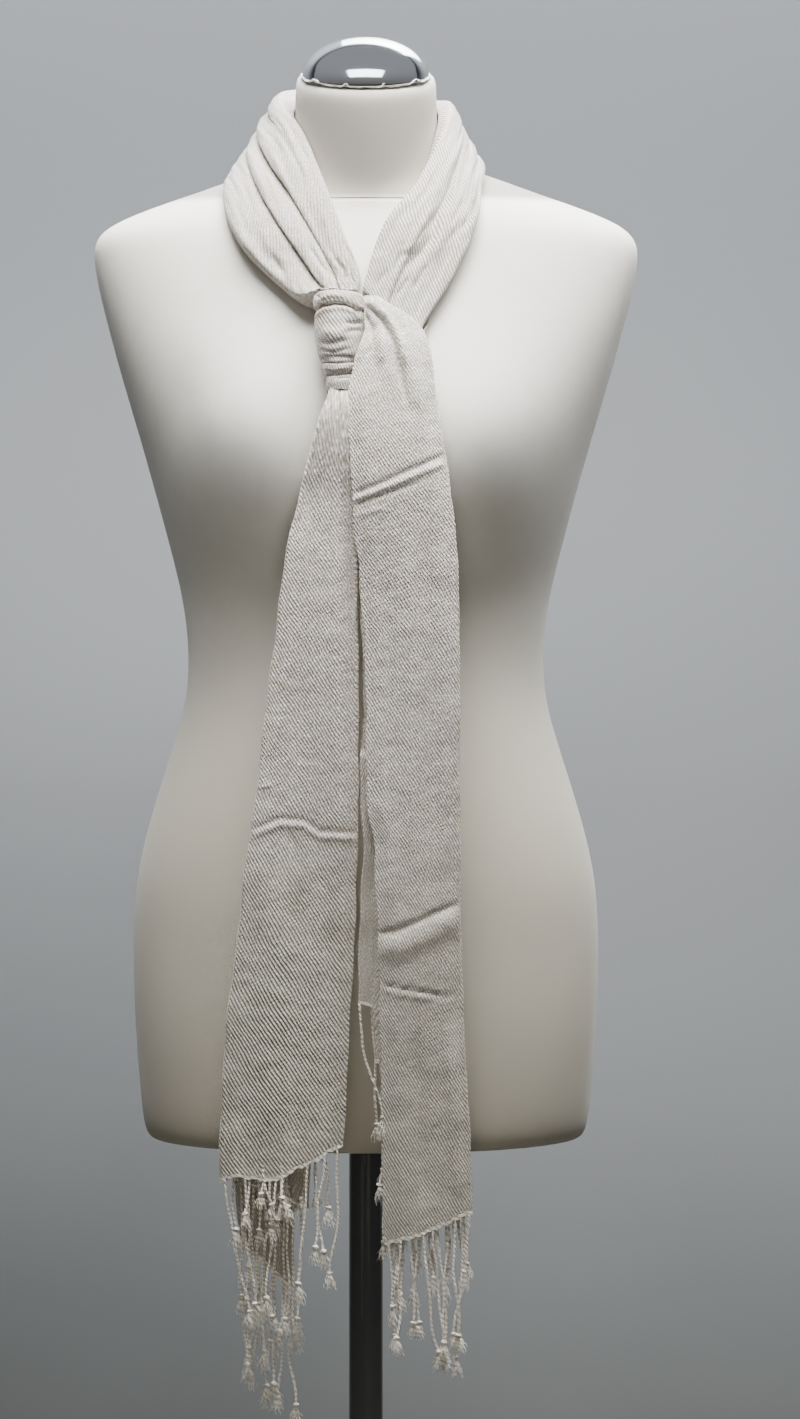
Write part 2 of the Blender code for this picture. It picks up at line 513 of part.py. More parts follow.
class Tail:
    """A hanging end of the shawl: eight layers folded back and forth, with an oblique hem."""

    def __init__(self, rows, levels, layers, hem, first_side, creases):
        self.rows = rows
        self.levels = levels
        self.layers = layers
        self.hem = hem
        self.first_side = first_side
        self.creases = creases
        self.top = rows[0].height

    def edges(self, place, height):
        left = table_value(self.rows, height, 1)
        right = table_value(self.rows, height, 2)
        part = place / (LAYERS - 1)
        left += table_value(self.rows, height, 3) * part + WALL / 2
        right += table_value(self.rows, height, 4) * part - WALL / 2
        return left, right

    def depth(self, place, height, side):
        front = table_value(self.rows, height, 5) + WALL / 2
        step = table_value(self.rows, height, 6)
        fade = smooth_step(self.top - WAVE_START, self.top - WAVE_FULL, height)
        drift = WAVE_DRIFT * max(height, LEVEL_END)
        wave = WAVE_DEPTH * fade * math.sin(2 * math.pi * (side + drift) / WAVE_LENGTH)
        for crease in self.creases:
            if place >= crease.layers:
                continue
            line = crease.height + crease.slope * (side - crease.middle)
            wave += crease.depth * math.exp(-((height - line) / crease.reach) ** 2)
        return front + step * place + wave

    def course(self):
        """The cloth's way through its layers: (layer, part of it, fold) at each point."""
        stops = []
        for layer in range(LAYERS):
            for i in range(LAYER_POINTS):
                stops.append((layer, i / (LAYER_POINTS - 1), 0.0))
            if layer < LAYERS - 1:
                stops += [(layer, 1.0, fold) for fold in self.fold_shares(layer)]
        return stops

    def fold_shares(self, layer):
        turn = abs(self.layers[layer + 1] - self.layers[layer])
        return FOLD_MIDDLE if turn == 1 else FOLD_WIDE

    def turn_room(self, layer):
        """How far a fold stands in from the edge: the outer fold goes round the others."""
        return FOLD_ROOM * abs(self.layers[layer + 1] - self.layers[layer]) ** 0.5

    def nested(self, layer):
        """How far a layer inside the wide fold at the left edge stays short of it."""
        wide = [i for i in range(LAYERS - 1) if abs(self.layers[i + 1] - self.layers[i]) > 1]
        if not wide:
            return 0.0
        inside = self.layers[wide[0]] < self.layers[layer] < self.layers[wide[0] + 1]
        return NEST_ROOM if inside else 0.0

    def stop_point(self, stop, height):
        """Where one stop of the course lies, in plan, at a height."""
        layer, part, fold = stop
        starts_left = (layer % 2 == 0) == (self.first_side == "left")
        place = self.layers[layer]
        left, right = self.edges(place, height)
        spread = smooth_step(GATHERED, SPREAD, right - left)
        left += self.nested(layer) * (NEST_TIGHT + (1 - NEST_TIGHT) * spread)
        start, end = (left, right) if starts_left else (right, left)
        heading = 1.0 if starts_left else -1.0
        if fold:
            after = self.layers[layer + 1]
            side = end
            near = self.depth(place, height, side)
            far = self.depth(after, height, side)
            return Vector((side, near + (far - near) * fold))
        room_start = self.turn_room(layer - 1) if layer else 0.0
        room_end = self.turn_room(layer) if layer < LAYERS - 1 else 0.0
        first = start + heading * room_start
        last = end - heading * room_end
        side = first + (last - first) * part
        return Vector((side, self.depth(place, height, side)))

    def hem_height(self, stop):
        layer, part, fold = stop
        if fold:
            return self.hem[layer + 1]
        return self.hem[layer] + (self.hem[layer + 1] - self.hem[layer]) * part

    def wall_point(self, stops, index, height, distance):
        """A stop moved off the cloth's middle, square to the way the cloth runs there."""
        low = max(index - 1, 0)
        high = min(index + 1, len(stops) - 1)
        points = [self.stop_point(stops[i], height) for i in (low, index, high)]
        if low == index:
            points.pop(0)
        elif high == index:
            points.pop()
        moved = offset_line(points, distance)
        return moved[min(index, 1)]


def tails():
    return {
        "shawl_tail_left": Tail(TAIL_LEFT, LEFT_LEVELS, LEFT_LAYERS, LEFT_HEM, "right", LEFT_CREASES),
        "shawl_tail_right": Tail(TAIL_RIGHT, RIGHT_LEVELS, RIGHT_LAYERS, RIGHT_HEM, "left",
                                 RIGHT_CREASES),
    }


def build_tail(collection, cloth, name, tail):
    stops = tail.course()
    sheets = ([], [])
    slices = [(level, 0.0) for level in tail.levels] + [(LEVEL_END, part) for part in HEM_SLICES]
    for level, part in slices:
        for sheet, distance in zip(sheets, (WALL / 2, -WALL / 2)):
            ring = []
            for index, stop in enumerate(stops):
                height = level + (tail.hem_height(stop) - level) * part
                point = tail.wall_point(stops, index, height, distance)
                ring.append(Vector((point.x, point.y, height)))
            sheet.append(ring)
    add_object(name, loft_wall(*sheets), cloth, collection, 60.0)


# ---------------------------------------------------------------- fringe
STRIP_HEIGHT = 0.004
StrandRing = namedtuple("StrandRing", "down size")
STRAND = (
    #          down    half size
    StrandRing(0.0780, 0.0007),
    StrandRing(0.0830, 0.0011),
    StrandRing(0.0980, 0.0006),
)
STRAND_ROOT = 1 / 60     # half a root's width, as a share of a layer's
STRAND_SWAY = 0.0030     # how far the ends drift along the hem
SWAY_TURNS = 90.0        # radians of that drift for each metre along the hem
SWAY_LAYER = 0.7         # and for each layer back
SWAY_BEND = 1.5          # how the drift grows downwards
STRAND_UNEVEN = 0.004    # difference between the strands' lengths
UNEVEN_TURN = 2.4        # radians of it from one strand to the next


def fringe_stops():
    """Shares of a layer's width where a strand's root starts and ends."""
    parts = []
    for i in range(STRANDS_PER_LAYER):
        middle = (i + 0.5) / STRANDS_PER_LAYER
        parts += [(middle - STRAND_ROOT, True), (middle + STRAND_ROOT, False)]
    return parts


def build_fringe(collection, yarn, name, tail):
    stops = []
    rooted = []
    for layer in range(LAYERS):
        for part, starts_root in fringe_stops():
            stops.append((layer, part, 0.0))
            rooted.append(starts_root)
        if layer < LAYERS - 1:
            folds = tail.fold_shares(layer)
            stops.append((layer, 1.0, 0.0))
            stops += [(layer, 1.0, fold) for fold in folds]
            stops.append((layer + 1, 0.0, 0.0))
            rooted += [False] * (2 + len(folds))
    bm = bmesh.new()
    corners = []
    for index, stop in enumerate(stops):
        hem = tail.hem_height(stop) - SEAM
        corner = []
        for drop, side in ((0.0, 1), (0.0, -1), (STRIP_HEIGHT, -1), (STRIP_HEIGHT, 1)):
            point = tail.wall_point(stops, index, hem, side * WALL / 2)
            corner.append(bm.verts.new((point.x, point.y, hem - drop)))
        corners.append(corner)
    roots = []
    for index, (near, far) in enumerate(zip(corners, corners[1:])):
        for k in range(4):
            n = (k + 1) % 4
            if k == 2 and rooted[index]:
                roots.append((index, (near[2], near[3], far[3], far[2])))
                continue
            bm.faces.new((near[k], far[k], far[n], near[n]))
    bm.faces.new(corners[0])
    bm.faces.new(reversed(corners[-1]))
    for number, (index, loop) in enumerate(roots):
        grow_strand(bm, loop, tail, stops[index], number)
    bmesh.ops.recalc_face_normals(bm, faces=bm.faces)
    add_object(name, bm, yarn, collection, 60.0)


def grow_strand(bm, loop, tail, stop, number):
    """One strand down from its root: straight, a knot, then a tuft."""
    middle = sum((vert.co for vert in loop), Vector()) / 4
    place = tail.layers[stop[0]]
    sway = STRAND_SWAY * math.sin(middle.x * SWAY_TURNS + place * SWAY_LAYER)
    directions = [(vert.co - middle).normalized() for vert in loop]
    previous = list(loop)
    for row in STRAND:
        share = row.down / STRAND[-1].down
        centre = middle + Vector((sway * share ** SWAY_BEND, 0.0, -row.down))
        centre.z += STRAND_UNEVEN * math.sin(number * UNEVEN_TURN) * share
        ring = []
        for direction in directions:
            flat = Vector((direction.x, direction.y, 0)).normalized()
            ring.append(bm.verts.new(centre + flat * row.size))
        for k in range(4):
            n = (k + 1) % 4
            bm.faces.new((previous[k], ring[k], ring[n], previous[n]))
        previous = ring
    bm.faces.new(previous)


# ---------------------------------------------------------------- the whole part
def main():
    clear_scene()
    collection = bpy.data.collections.new("pashmina_shawl_on_form")
    bpy.context.scene.collection.children.link(collection)
    jersey = make_material("ivory jersey", (0.72, 0.70, 0.62), 0.85)
    chrome = make_material("chrome", (0.70, 0.71, 0.73), 0.12, 1.0)
    steel = make_material("painted steel", (0.09, 0.09, 0.10), 0.45, 0.0)
    cloth = make_material("cream twill", (0.80, 0.77, 0.71), 0.62)
    yarn = make_material("cream yarn", (0.82, 0.78, 0.70), 0.75)
    body = build_body(collection, jersey)
    form = BVHTree.FromPolygons([vert.co for vert in body.data.vertices],
                                [tuple(face.vertices) for face in body.data.polygons])
    build_cap(collection, chrome)
    build_stand(collection, chrome, steel)
    for name in NECK_SPANS:
        build_neck(collection, cloth, form, name)
    build_knot(collection, cloth)
    for name, tail in tails().items():
        build_tail(collection, cloth, name, tail)
        build_fringe(collection, yarn, name.replace("shawl_tail", "fringe"), tail)


main()
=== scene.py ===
"""Looks of a pashmina shawl knotted round the neck of a dress form on a pole stand.

Metres, +Z up, the form faces -Y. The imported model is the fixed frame; every visible
surface gets a finer shell or a finish of its own here.
"""
import math
from collections import namedtuple

import bmesh
import bpy
import numpy as np
from bpy.props import FloatProperty, FloatVectorProperty, PointerProperty
from bpy.types import Operator, Panel, PropertyGroup
from mathutils import Matrix, Vector
from mathutils.bvhtree import BVHTree


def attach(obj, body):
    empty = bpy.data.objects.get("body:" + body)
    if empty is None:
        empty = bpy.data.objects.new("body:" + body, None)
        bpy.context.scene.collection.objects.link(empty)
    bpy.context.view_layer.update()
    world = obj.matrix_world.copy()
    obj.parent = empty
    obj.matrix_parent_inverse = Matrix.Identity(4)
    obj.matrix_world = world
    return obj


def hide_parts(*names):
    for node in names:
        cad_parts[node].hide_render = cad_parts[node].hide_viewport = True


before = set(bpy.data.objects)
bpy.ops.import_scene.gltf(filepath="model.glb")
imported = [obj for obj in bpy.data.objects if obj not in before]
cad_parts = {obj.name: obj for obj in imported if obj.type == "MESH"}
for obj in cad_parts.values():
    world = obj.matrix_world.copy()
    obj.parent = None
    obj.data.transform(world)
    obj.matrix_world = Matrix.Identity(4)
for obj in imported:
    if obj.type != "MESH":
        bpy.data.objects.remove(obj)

bl_info = {
    "name": "Pashmina shawl on a form",
    "version": (1, 0, 0),
    "blender": (4, 5, 0),
    "location": "3D View > Sidebar > Shawl",
    "description": "Builds the looks of a knotted shawl, its fringe, the dress form and its stand",
    "category": "Object",
}

# ---------------------------------------------------------------- sizes
LAYERS = 8               # the panel is folded in half three times
STRANDS_PER_LAYER = 6
CLOTH_CUT_WIDTH = 0.70   # width of the woven panel

CAP_RADIUS = 0.045
CAP_HEIGHT = 0.027
NECK_TILT = math.radians(22.0)
NECK_TOP = Vector((0.0, -0.012, 1.4545))
POLE_RADIUS = 0.012
FLANGE_RADIUS = 0.032
FLANGE_THICKNESS = 0.004
BODY_UNDERSIDE = 0.7000
BASE_RADIUS = 0.175
BASE_THICKNESS = 0.009
BOSS_RADIUS = 0.024
BOSS_HEIGHT = 0.042
SOCKET_FLOOR = 0.006
SEAM = 0.0003            # gap between pieces that lie on each other
HALF_WALL = 0.0006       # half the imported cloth's wall: the look's cloth runs in its middle


def table(kind, *rows):
    """Rows of metres from tenths of a millimetre, and of shares from ten-thousandths."""
    return tuple(kind(*(value / 10000 for value in row)) for row in rows)


# The loop round the neck, from the knot over the wearer's right, the back and the left side.
Section = namedtuple("Section", "top_x top_y top_z low_x low_y low_z rise sink groove_a groove_b groove_c")
NECK_LOOP = table(
    Section,
    # inner edge on the neck, outer edge on the body, rise and sink, grooves across the width
    ( -40, -1080, 12897, -305, -1085, 12900, 30,  85, 2400, 4800, 7300),
    ( -48, -1010, 13080, -430, -1020, 12850, 50, 140, 2000, 4000, 6600),
    (-134,  -900, 13299, -557,  -930, 12930, 60, 170, 1700, 3600, 6200),
    (-277,  -650, 13703, -867,  -760, 13270, 70, 190, 1800, 3600, 6100),
    (-438,  -360, 14106, -980,  -455, 13600, 70, 200, 2200, 4500, 6500),
    (-600,    60, 14410, -925,    80, 13875, 70, 200, 2400, 4700, 6600),
    (-500,   440, 14560, -780,   640, 14070, 70, 200, 2500, 4800, 7000),
    (   0,   620, 14600,    0,   860, 14100, 70, 200, 2700, 5000, 7400),
    ( 455,   440, 14485,  705,   640, 14030, 70, 200, 3000, 5200, 7800),
    ( 572,    60, 14375,  822,    80, 13915, 70, 200, 3400, 5800, 8000),
    ( 504,  -320, 14061,  812,  -440, 13705, 70, 200, 3500, 5900, 8000),
    ( 354,  -610, 13703,  778,  -720, 13418, 70, 190, 3600, 5800, 8000),
    ( 140,  -870, 13396,  635,  -870, 13057, 60, 170, 3600, 5800, 8000),
    (   2, -1040, 12960,  413, -1050, 12680, 30, 130, 3400, 5700, 7900),
    (  12, -1065, 12880,  405, -1075, 12600, 20, 110, 3400, 5700, 7900),
)
# Stretches of the loop: first and last section, rings, and the length of shawl in each.
Stretch = namedtuple("Stretch", "first last rings flat_length")
STRETCHES = {
    "shawl_neck_left": Stretch(0.0, 4.993, 84, 0.185),
    "shawl_neck_back": Stretch(5.0, 8.993, 78, 0.190),
    "shawl_neck_right": Stretch(9.0, 13.97, 150, 0.185),
}
SECTION_POINTS = 150     # points across a stretch's gathered section
LIE_CLEAR = 0.0013       # the cloth's middle keeps this off the form
SLOT_FLOOR = 0.0007      # half the spacing of the two walls at the bottom of a deep groove
SLOT_SHALLOW = 0.0020    # and of a shallow one
SLOT_MOUTH = 0.0012      # half the spacing of the two walls at the mouth of a groove
SLOT_WIDE = 0.0045       # the same for a shallow groove
SLOT_FULL = 0.6          # the depth from which a groove counts as deep
SLOT_DEPTH = 0.0034      # how far a groove reaches below the lobes' feet
LOBE_RISE = 0.68         # the lobes' height, as a share of the solid's
RIPPLE = 0.00035         # depth of the fine wrinkles, see WRINKLES

KnotRing = namedtuple("KnotRing", "height centre_x centre_y half_width half_depth")
KNOT = table(
    KnotRing,
    (12843, -160, -1117, 166, 132),
    (12828, -160, -1121, 180, 146),
    (12795, -160, -1130, 186, 153),
    (12755, -158, -1142, 182, 148),
    (12728, -156, -1150, 166, 132),
    (12695, -154, -1158, 180, 150),
    (12610, -154, -1182, 182, 154),
    (12520, -156, -1206, 172, 150),
    (12420, -153, -1232, 152, 138),
    (12380, -152, -1242, 130, 118),
    (12340, -146, -1252, 134, 124),
    (12275, -145, -1262, 110, 116),
    (12220, -146, -1272, 114, 122),
    (12165, -148, -1282, 102, 116),
)
KNOT_SIDES = 96
KNOT_RINGS = 110
KNOT_GIRTH_ROW = 6       # the ring whose girth is the cloth's own
KNOT_SLOPE = -0.06       # the turns run down a little to the right
KNOT_ARCH = 0.0030       # and ride higher in front than behind

# One row for each height: the front layer's two edges, how far the back layer's edges lie from
# them, the front layer's face and the spacing of the layers.
TailRow = namedtuple("TailRow", "height left right left_shift right_shift front step")
TAIL_LEFT = table(
    TailRow,
    (12760, -235,  -85,   0,    0, -1212, 19),
    (12500, -233,  -83,   0,    0, -1276, 19),
    (12300, -222,  -72,   0,    0, -1345, 18),
    (12195, -236,  -72,   0,    0, -1386, 18),
    (12150, -246,  -72,   0,    0, -1412, 18),
    (12080, -272,  -74,   0,    0, -1438, 19),
    (11990, -303,  -76,   0,    0, -1452, 20),
    (11850, -345,  -76,   0,    0, -1458, 21),
    (11722, -380,  -74,   0,    0, -1454, 22),
    (11454, -446,  -62,   0,    0, -1435, 23),
    (11052, -527,  -42,   0,    0, -1435, 23),
    (10600, -593,  -34,   0,   -8, -1435, 23),
    (10114, -651,  -30,   0,  -20, -1435, 23),
    ( 9443, -735,  -22,   0,  -60, -1435, 23),
    ( 8773, -823,  -36,   0, -130, -1435, 23),
    ( 8103, -903,  -68,   0, -220, -1435, 23),
    ( 7433, -961, -105,  40, -300, -1435, 23),
    ( 6917, -967, -126, 110, -330, -1435, 23),
    ( 6100, -967, -126, 180, -340, -1435, 23),
)
TAIL_RIGHT = table(
    TailRow,
    (12835,   0, 100,   50,   0, -1284, 21),
    (12795,  -5, 150,   60,  -5, -1290, 21),
    (12697,  -5, 310,   90, -20, -1315, 22),
    (12604,   0, 400,   95, -20, -1340, 22),
    (12511, -27, 436,   95, -10, -1370, 21),
    (12378, -71, 463,   80,   0, -1399, 21),
    (12171, -89, 483,   60,   0, -1440, 21),
    (11845, -72, 536,   30,   0, -1485, 22),
    (11445, -52, 589,   10,   0, -1505, 23),
    (11046, -33, 629,    5,   0, -1505, 23),
    (10779, -20, 636,   -5,   0, -1505, 23),
    (10113,  17, 643,  -30,   0, -1505, 23),
    ( 9447,  16, 643,  -40,   0, -1505, 23),
    ( 9140,  70, 646,  -80,   0, -1505, 23),
    ( 8781,  80, 649, -100,   0, -1505, 23),
    ( 8115, 105, 663, -150,   0, -1505, 23),
    ( 7449, 116, 703, -130, -20, -1505, 23),
    ( 6500, 130, 742,  -60, -30, -1505, 23),
)
# A tail's layers in the order in which the cloth runs through them: each layer's place from the
# front, and the height of the hem where the layer starts. The last number is where it ends.
LEFT_LAYERS = (4, 3, 2, 1, 0, 5, 6, 7)
LEFT_HEM = (0.7960, 0.7755, 0.7554, 0.7352, 0.7145, 0.6917, 0.6716, 0.6461, 0.6160)
RIGHT_LAYERS = (7, 6, 5, 4, 3, 2, 1, 0)
RIGHT_HEM = (0.8110, 0.7910, 0.7710, 0.7510, 0.7310, 0.7110, 0.6910, 0.6710, 0.6510)
# How far the front layer's hem leaves a straight line, at equal steps across it.
LEFT_HEM_LINE = (0.0, -0.0002, -0.0036, -0.0050, -0.0068, -0.0082, -0.0080, -0.0056, -0.0020, 0.0014, 0.0)
RIGHT_HEM_LINE = (0.0, 0.0006, 0.0004, -0.0010, -0.0016, -0.0008, -0.0014, -0.0020, -0.0010, -0.0004, 0.0)
FRONT_POINTS = 46        # points across the front layer
INNER_POINTS = 7         # and across each other layer
FULL_SPREAD = 0.90       # the height at which the tails lie at their full width
ROW_STEP = 0.0030        # spacing of a tail's rows
CREASE_STEP = 0.0012     # and where the cloth is creased
HEM_ROWS = 96            # rows below the level part
EDGE_BOW = 0.0034        # how far the layers round back at an end's edges
EDGE_REACH = 0.013       # and over what width
TOP_ROLL = 0.0035        # how far an end's top edge rolls back
TOP_ROLLED = 0.007       # and over what height
LEFT_CREASED = ((1.190, 1.225), (0.905, 0.958))
RIGHT_CREASED = ((1.235, 1.284), (1.132, 1.182), (0.838, 0.886))
WAVE_DEPTH = 0.0008      # soft lengthwise waves that all layers share
WAVE_LENGTH = 0.085
WAVE_DRIFT = 0.25        # sideways drift of a wave for each unit of height
WAVE_START, WAVE_FULL = 0.05, 0.16   # how far below the tail's top the waves start and are full
FOLD_ROOM = 0.0014       # how far a fold rounds out past its layers
NEST_ROOM = 0.0042       # layers inside a wide fold stay this far short of it
NEST_TIGHT = 0.45        # and this share of it where the tail is gathered
GATHERED, SPREAD = 0.012, 0.030      # widths between which a tail goes from gathered to spread
LEVEL_END = 0.8380       # below this the layers end one after another
FREE_CURL = 0.009        # how far the back layer's free edge curls forward
FREE_LEAST = 0.004       # where it is wider than this
STEEP_FADE = 0.060       # height over which an end's ribs turn steep towards the knot
STEEP_SHARE = 0.25       # and how little of their lengthwise spacing is left there
HEM_RIPPLE = 0.0006      # unevenness of the hems
OVERLAP_END, OVERLAP_START = 1.100, 1.135    # above this one end's edge lies over the other's
OVERLAP_LAYERS = 3       # with so many of its layers
OVERLAP_ABOVE, OVERLAP_BELOW = 0.020, 0.010  # and fades in between these distances from the knot's foot
# Unevenness, in rows for waves(): of an end's edges by height and layer, of its hem and of the strip
# under the hem by share of the way across a layer and by layer.
EDGE_WAVES = ((0.0005, 61.0, 2.1, 0.0), (0.0004, 139.0, 1.0, 0.0))
HEM_WAVES = ((1.0, 17.0, 2.0, 0.0), (0.6, 41.0, 1.0, 0.0))
FRAY_WAVES = ((0.25, 53.0, 1.0, 0.0), (0.2, 97.0, 0.0, 0.0))
WOBBLE_START, WOBBLE_FULL = 0.05, 0.12       # how far below an end's top its edges turn uneven
NARROW_FOLD_POINTS, WIDE_FOLD_POINTS = 3, 7  # points round a fold between two layers
RIM_HOLD, RIM_WIDTH = 0.35, 0.06             # creases keep this share at a layer's edges, over this part

FRINGE_STRIP = 0.004     # woven strip that the strands are rooted in
HEM_CORD = 1.3           # the rolled edge's thickness, in cloth thicknesses
KNOT_DOWN = 0.078        # from the strip to a strand's knot
TUFT_LENGTH = 0.0145
# Strands that hang in a way of their own, by end and layer from the front: where each is rooted
# across its layer, how far its end drifts sideways and forward, and its length.
Hanging = namedtuple("Hanging", "part sway forward length")
OWN_STRANDS = {
    ("left", 0): table(Hanging, (400, -20, 0, 840), (1400, -67, 0, 620), (2800, -85, 0, 800),
                       (6000, 10, 0, 780), (8000, 50, 0, 840), (9700, 160, 20, 880)),
    ("left", 1): table(Hanging, (1000, 60, 0, 980), (2200, -40, 40, 600), (3000, 30, 50, 520),
                       (4000, 80, 60, 460), (4800, -60, 40, 620), (8000, 20, 0, 740)),
    ("left", 2): table(Hanging, (1000, 30, 0, 800), (4200, -70, 20, 800), (5200, 60, 40, 700),
                       (6200, -50, 60, 600), (7400, 40, 0, 820), (9200, -30, 0, 780)),
    ("right", 0): table(Hanging, (200, -73, 0, 800), (1750, 7, 0, 780), (4400, 73, 0, 750),
                        (5500, 110, 20, 780), (8150, -40, 15, 650), (9500, 45, 0, 620)),
    ("right", 7): table(Hanging, (100, 140, 20, 760), (1300, 40, 0, 800), (3200, 20, 0, 780),
                        (5000, -20, 0, 800), (6800, 10, 0, 770), (8600, -10, 0, 790)),
    ("right", 1): table(Hanging, (800, 30, 0, 800), (3000, 60, 0, 860), (4200, -80, 0, 840),
                        (6000, 90, 30, 980), (7600, -40, 0, 960), (9300, -70, 0, 980)),
}
STRAND_SWAY = 0.0030     # how far the ends drift along the hem
SWAY_TURNS = 90.0        # radians of that drift for each metre along the hem
SWAY_LAYER = 0.7         # and for each layer back
SWAY_BEND = 1.5          # how the drift grows downwards
STRAND_UNEVEN = 0.004    # difference between the strands' lengths
UNEVEN_TURN = 2.4        # radians of it from one strand to the next

# A soft trough (depth above 0) or ridge (below 0) pressed into the cloth along a line seen from
# the front: (x, z) points, its half width and its depth.
Press = namedtuple("Press", "line width depth")
PRESS_TAPER = 0.22       # the share of a press's length over which each end of it fades
PRESS_LEFT = 0.15        # and what is left of its depth at the very end


def presses(*rows):
    """Presses from rows in tenths of a millimetre: width, depth, then each point's x and z."""
    plain = table(lambda *row: row, *rows)
    return tuple(Press(tuple(zip(row[2::2], row[3::2])), row[0], row[1]) for row in plain)


# ---------------------------------------------------------------- curves and tables
def smooth_step(low, high, value):
    part = min(max((value - low) / (high - low), 0.0), 1.0)
    return part * part * (3 - 2 * part)


def waves(rows, first, second=0.0):
    """A sum of sine waves: a row holds the size, the radians for each unit of both places, and a start."""
    return sum(size * math.sin(first * turn + second * lag + start) for size, turn, lag, start in rows)


def spline(rows, position):
    """Catmull-Rom value of a table of equal-length number rows at a fractional row index."""
    last = len(rows) - 1
    index = min(int(position), last - 1)
    part = position - index
    before, first = rows[max(index - 1, 0)], rows[index]
    second, after = rows[index + 1], rows[min(index + 2, last)]
    return [0.5 * (2 * b + (c - a) * part + (2 * a - 5 * b + 4 * c - d) * part ** 2
                   + (3 * b - a - 3 * c + d) * part ** 3)
            for a, b, c, d in zip(before, first, second, after)]


def table_value(rows, key, column):
    """Smooth value of a table column at a key; rows are sorted by falling first column."""
    keys = [row[0] for row in rows]
    if key >= keys[0]:
        return rows[0][column]
    if key <= keys[-1]:
        return rows[-1][column]
    index = next(i for i in range(len(keys) - 1) if keys[i] >= key >= keys[i + 1])
    part = (keys[index] - key) / (keys[index] - keys[index + 1])
    gap = keys[index + 1] - keys[index]
    slopes = []
    for i in (index, index + 1):
        low, high = max(i - 1, 0), min(i + 1, len(rows) - 1)
        slopes.append((rows[high][column] - rows[low][column]) / (keys[high] - keys[low]) * gap)
    square, cube = part ** 2, part ** 3
    return ((2 * cube - 3 * square + 1) * rows[index][column] + (cube - 2 * square + part) * slopes[0]
            + (3 * square - 2 * cube) * rows[index + 1][column] + (cube - square) * slopes[1])


def running_lengths(points):
    """How far along a line of points each of them lies."""
    lengths = [0.0]
    for a, b in zip(points, points[1:]):
        lengths.append(lengths[-1] + (b - a).length)
    return lengths


def resample(points, count):
    """A smooth curve through 2D points, as equally spaced points."""
    rows = [tuple(point) for point in points]
    fine = [Vector(spline(rows, (len(rows) - 1) * i / (8 * len(rows)))) for i in range(8 * len(rows) + 1)]
    lengths = running_lengths(fine)
    marks = np.linspace(0.0, lengths[-1], count)
    axes = [np.interp(marks, lengths, [point[k] for point in fine]) for k in range(len(rows[0]))]
    return [Vector(values) for values in zip(*axes)]


def press_depth(presses, xs, zs):
    """How far each (x, z) is pressed back by the troughs and ridges that reach it."""
    total = np.zeros(len(xs))
    for press in presses:
        line = np.array(press.line)
        nearest = np.full(len(xs), 1e9)
        share = np.zeros(len(xs))
        steps = np.concatenate(([0.0], np.cumsum(np.hypot(*np.diff(line, axis=0).T))))
        for a, b, start, end in zip(line, line[1:], steps, steps[1:]):
            way = b - a
            along = np.clip(((xs - a[0]) * way[0] + (zs - a[1]) * way[1]) / (way @ way), 0.0, 1.0)
            away = np.hypot(xs - a[0] - along * way[0], zs - a[1] - along * way[1])
            closer = away < nearest
            nearest = np.where(closer, away, nearest)
            share = np.where(closer, (start + along * (end - start)) / steps[-1], share)
        ends = np.clip(np.minimum(share, 1.0 - share) / PRESS_TAPER, 0.0, 1.0)
        taper = PRESS_LEFT + (1 - PRESS_LEFT) * ends * ends * (3 - 2 * ends)
        total += press.depth * taper * np.exp(-(nearest / press.width) ** 2)
    return total


# ---------------------------------------------------------------- mesh helpers
def new_object(context, name, bm):
    mesh = bpy.data.meshes.new(name)
    bm.to_mesh(mesh)
    bm.free()
    mesh.shade_smooth()
    obj = bpy.data.objects.new(name, mesh)
    context.scene.collection.objects.link(obj)
    return obj


def grid_mesh(rings, weave, closed=False):
    """A sheet through rings of points; weave holds each point's (across, along) in metres."""
    bm = bmesh.new()
    layer = bm.loops.layers.uv.new("weave")
    verts = [[bm.verts.new(point) for point in ring] for ring in rings]
    columns = len(rings[0]) if closed else len(rings[0]) - 1
    for r in range(len(rings) - 1):
        for c in range(columns):
            d = (c + 1) % len(rings[0])
            corners = ((r, c), (r, d), (r + 1, d), (r + 1, c))
            face = bm.faces.new([verts[a][b] for a, b in corners])
            for loop, (a, b) in zip(face.loops, corners):
                across, along = weave[a][b]
                if closed and d == 0 and b == 0:
                    across = 2 * weave[a][-1][0] - weave[a][-2][0]
                loop[layer].uv = (across, along)
    bm.normal_update()
    return bm, verts


def push_along_normals(bm, verts, facing, amounts):
    """Press vertices into the cloth where it faces the viewer (facing -1) or away (facing 1)."""
    moves = []
    for vert, amount in zip(verts, amounts):
        seen = smooth_step(0.0, 0.45, vert.normal.y * facing)
        moves.append(vert.normal * (-amount * seen))
    for vert, move in zip(verts, moves):
        vert.co += move
    bm.normal_update()


def walled(context, name, bm, thickness, sharp_angle=55.0):
    """A sheet as an object with its wall, half on each side of the sheet, and its border closed."""
    obj = new_object(context, name, bm)
    wall = obj.modifiers.new("wall", "SOLIDIFY")
    wall.thickness = thickness
    wall.offset = 0.0
    wall.use_rim = True
    bake(obj, sharp_angle)
    return obj


def front_places(verts):
    """A grid's vertices in one row, with their x and z."""
    flat = [vert for ring in verts for vert in ring]
    return flat, np.array([vert.co.x for vert in flat]), np.array([vert.co.z for vert in flat])


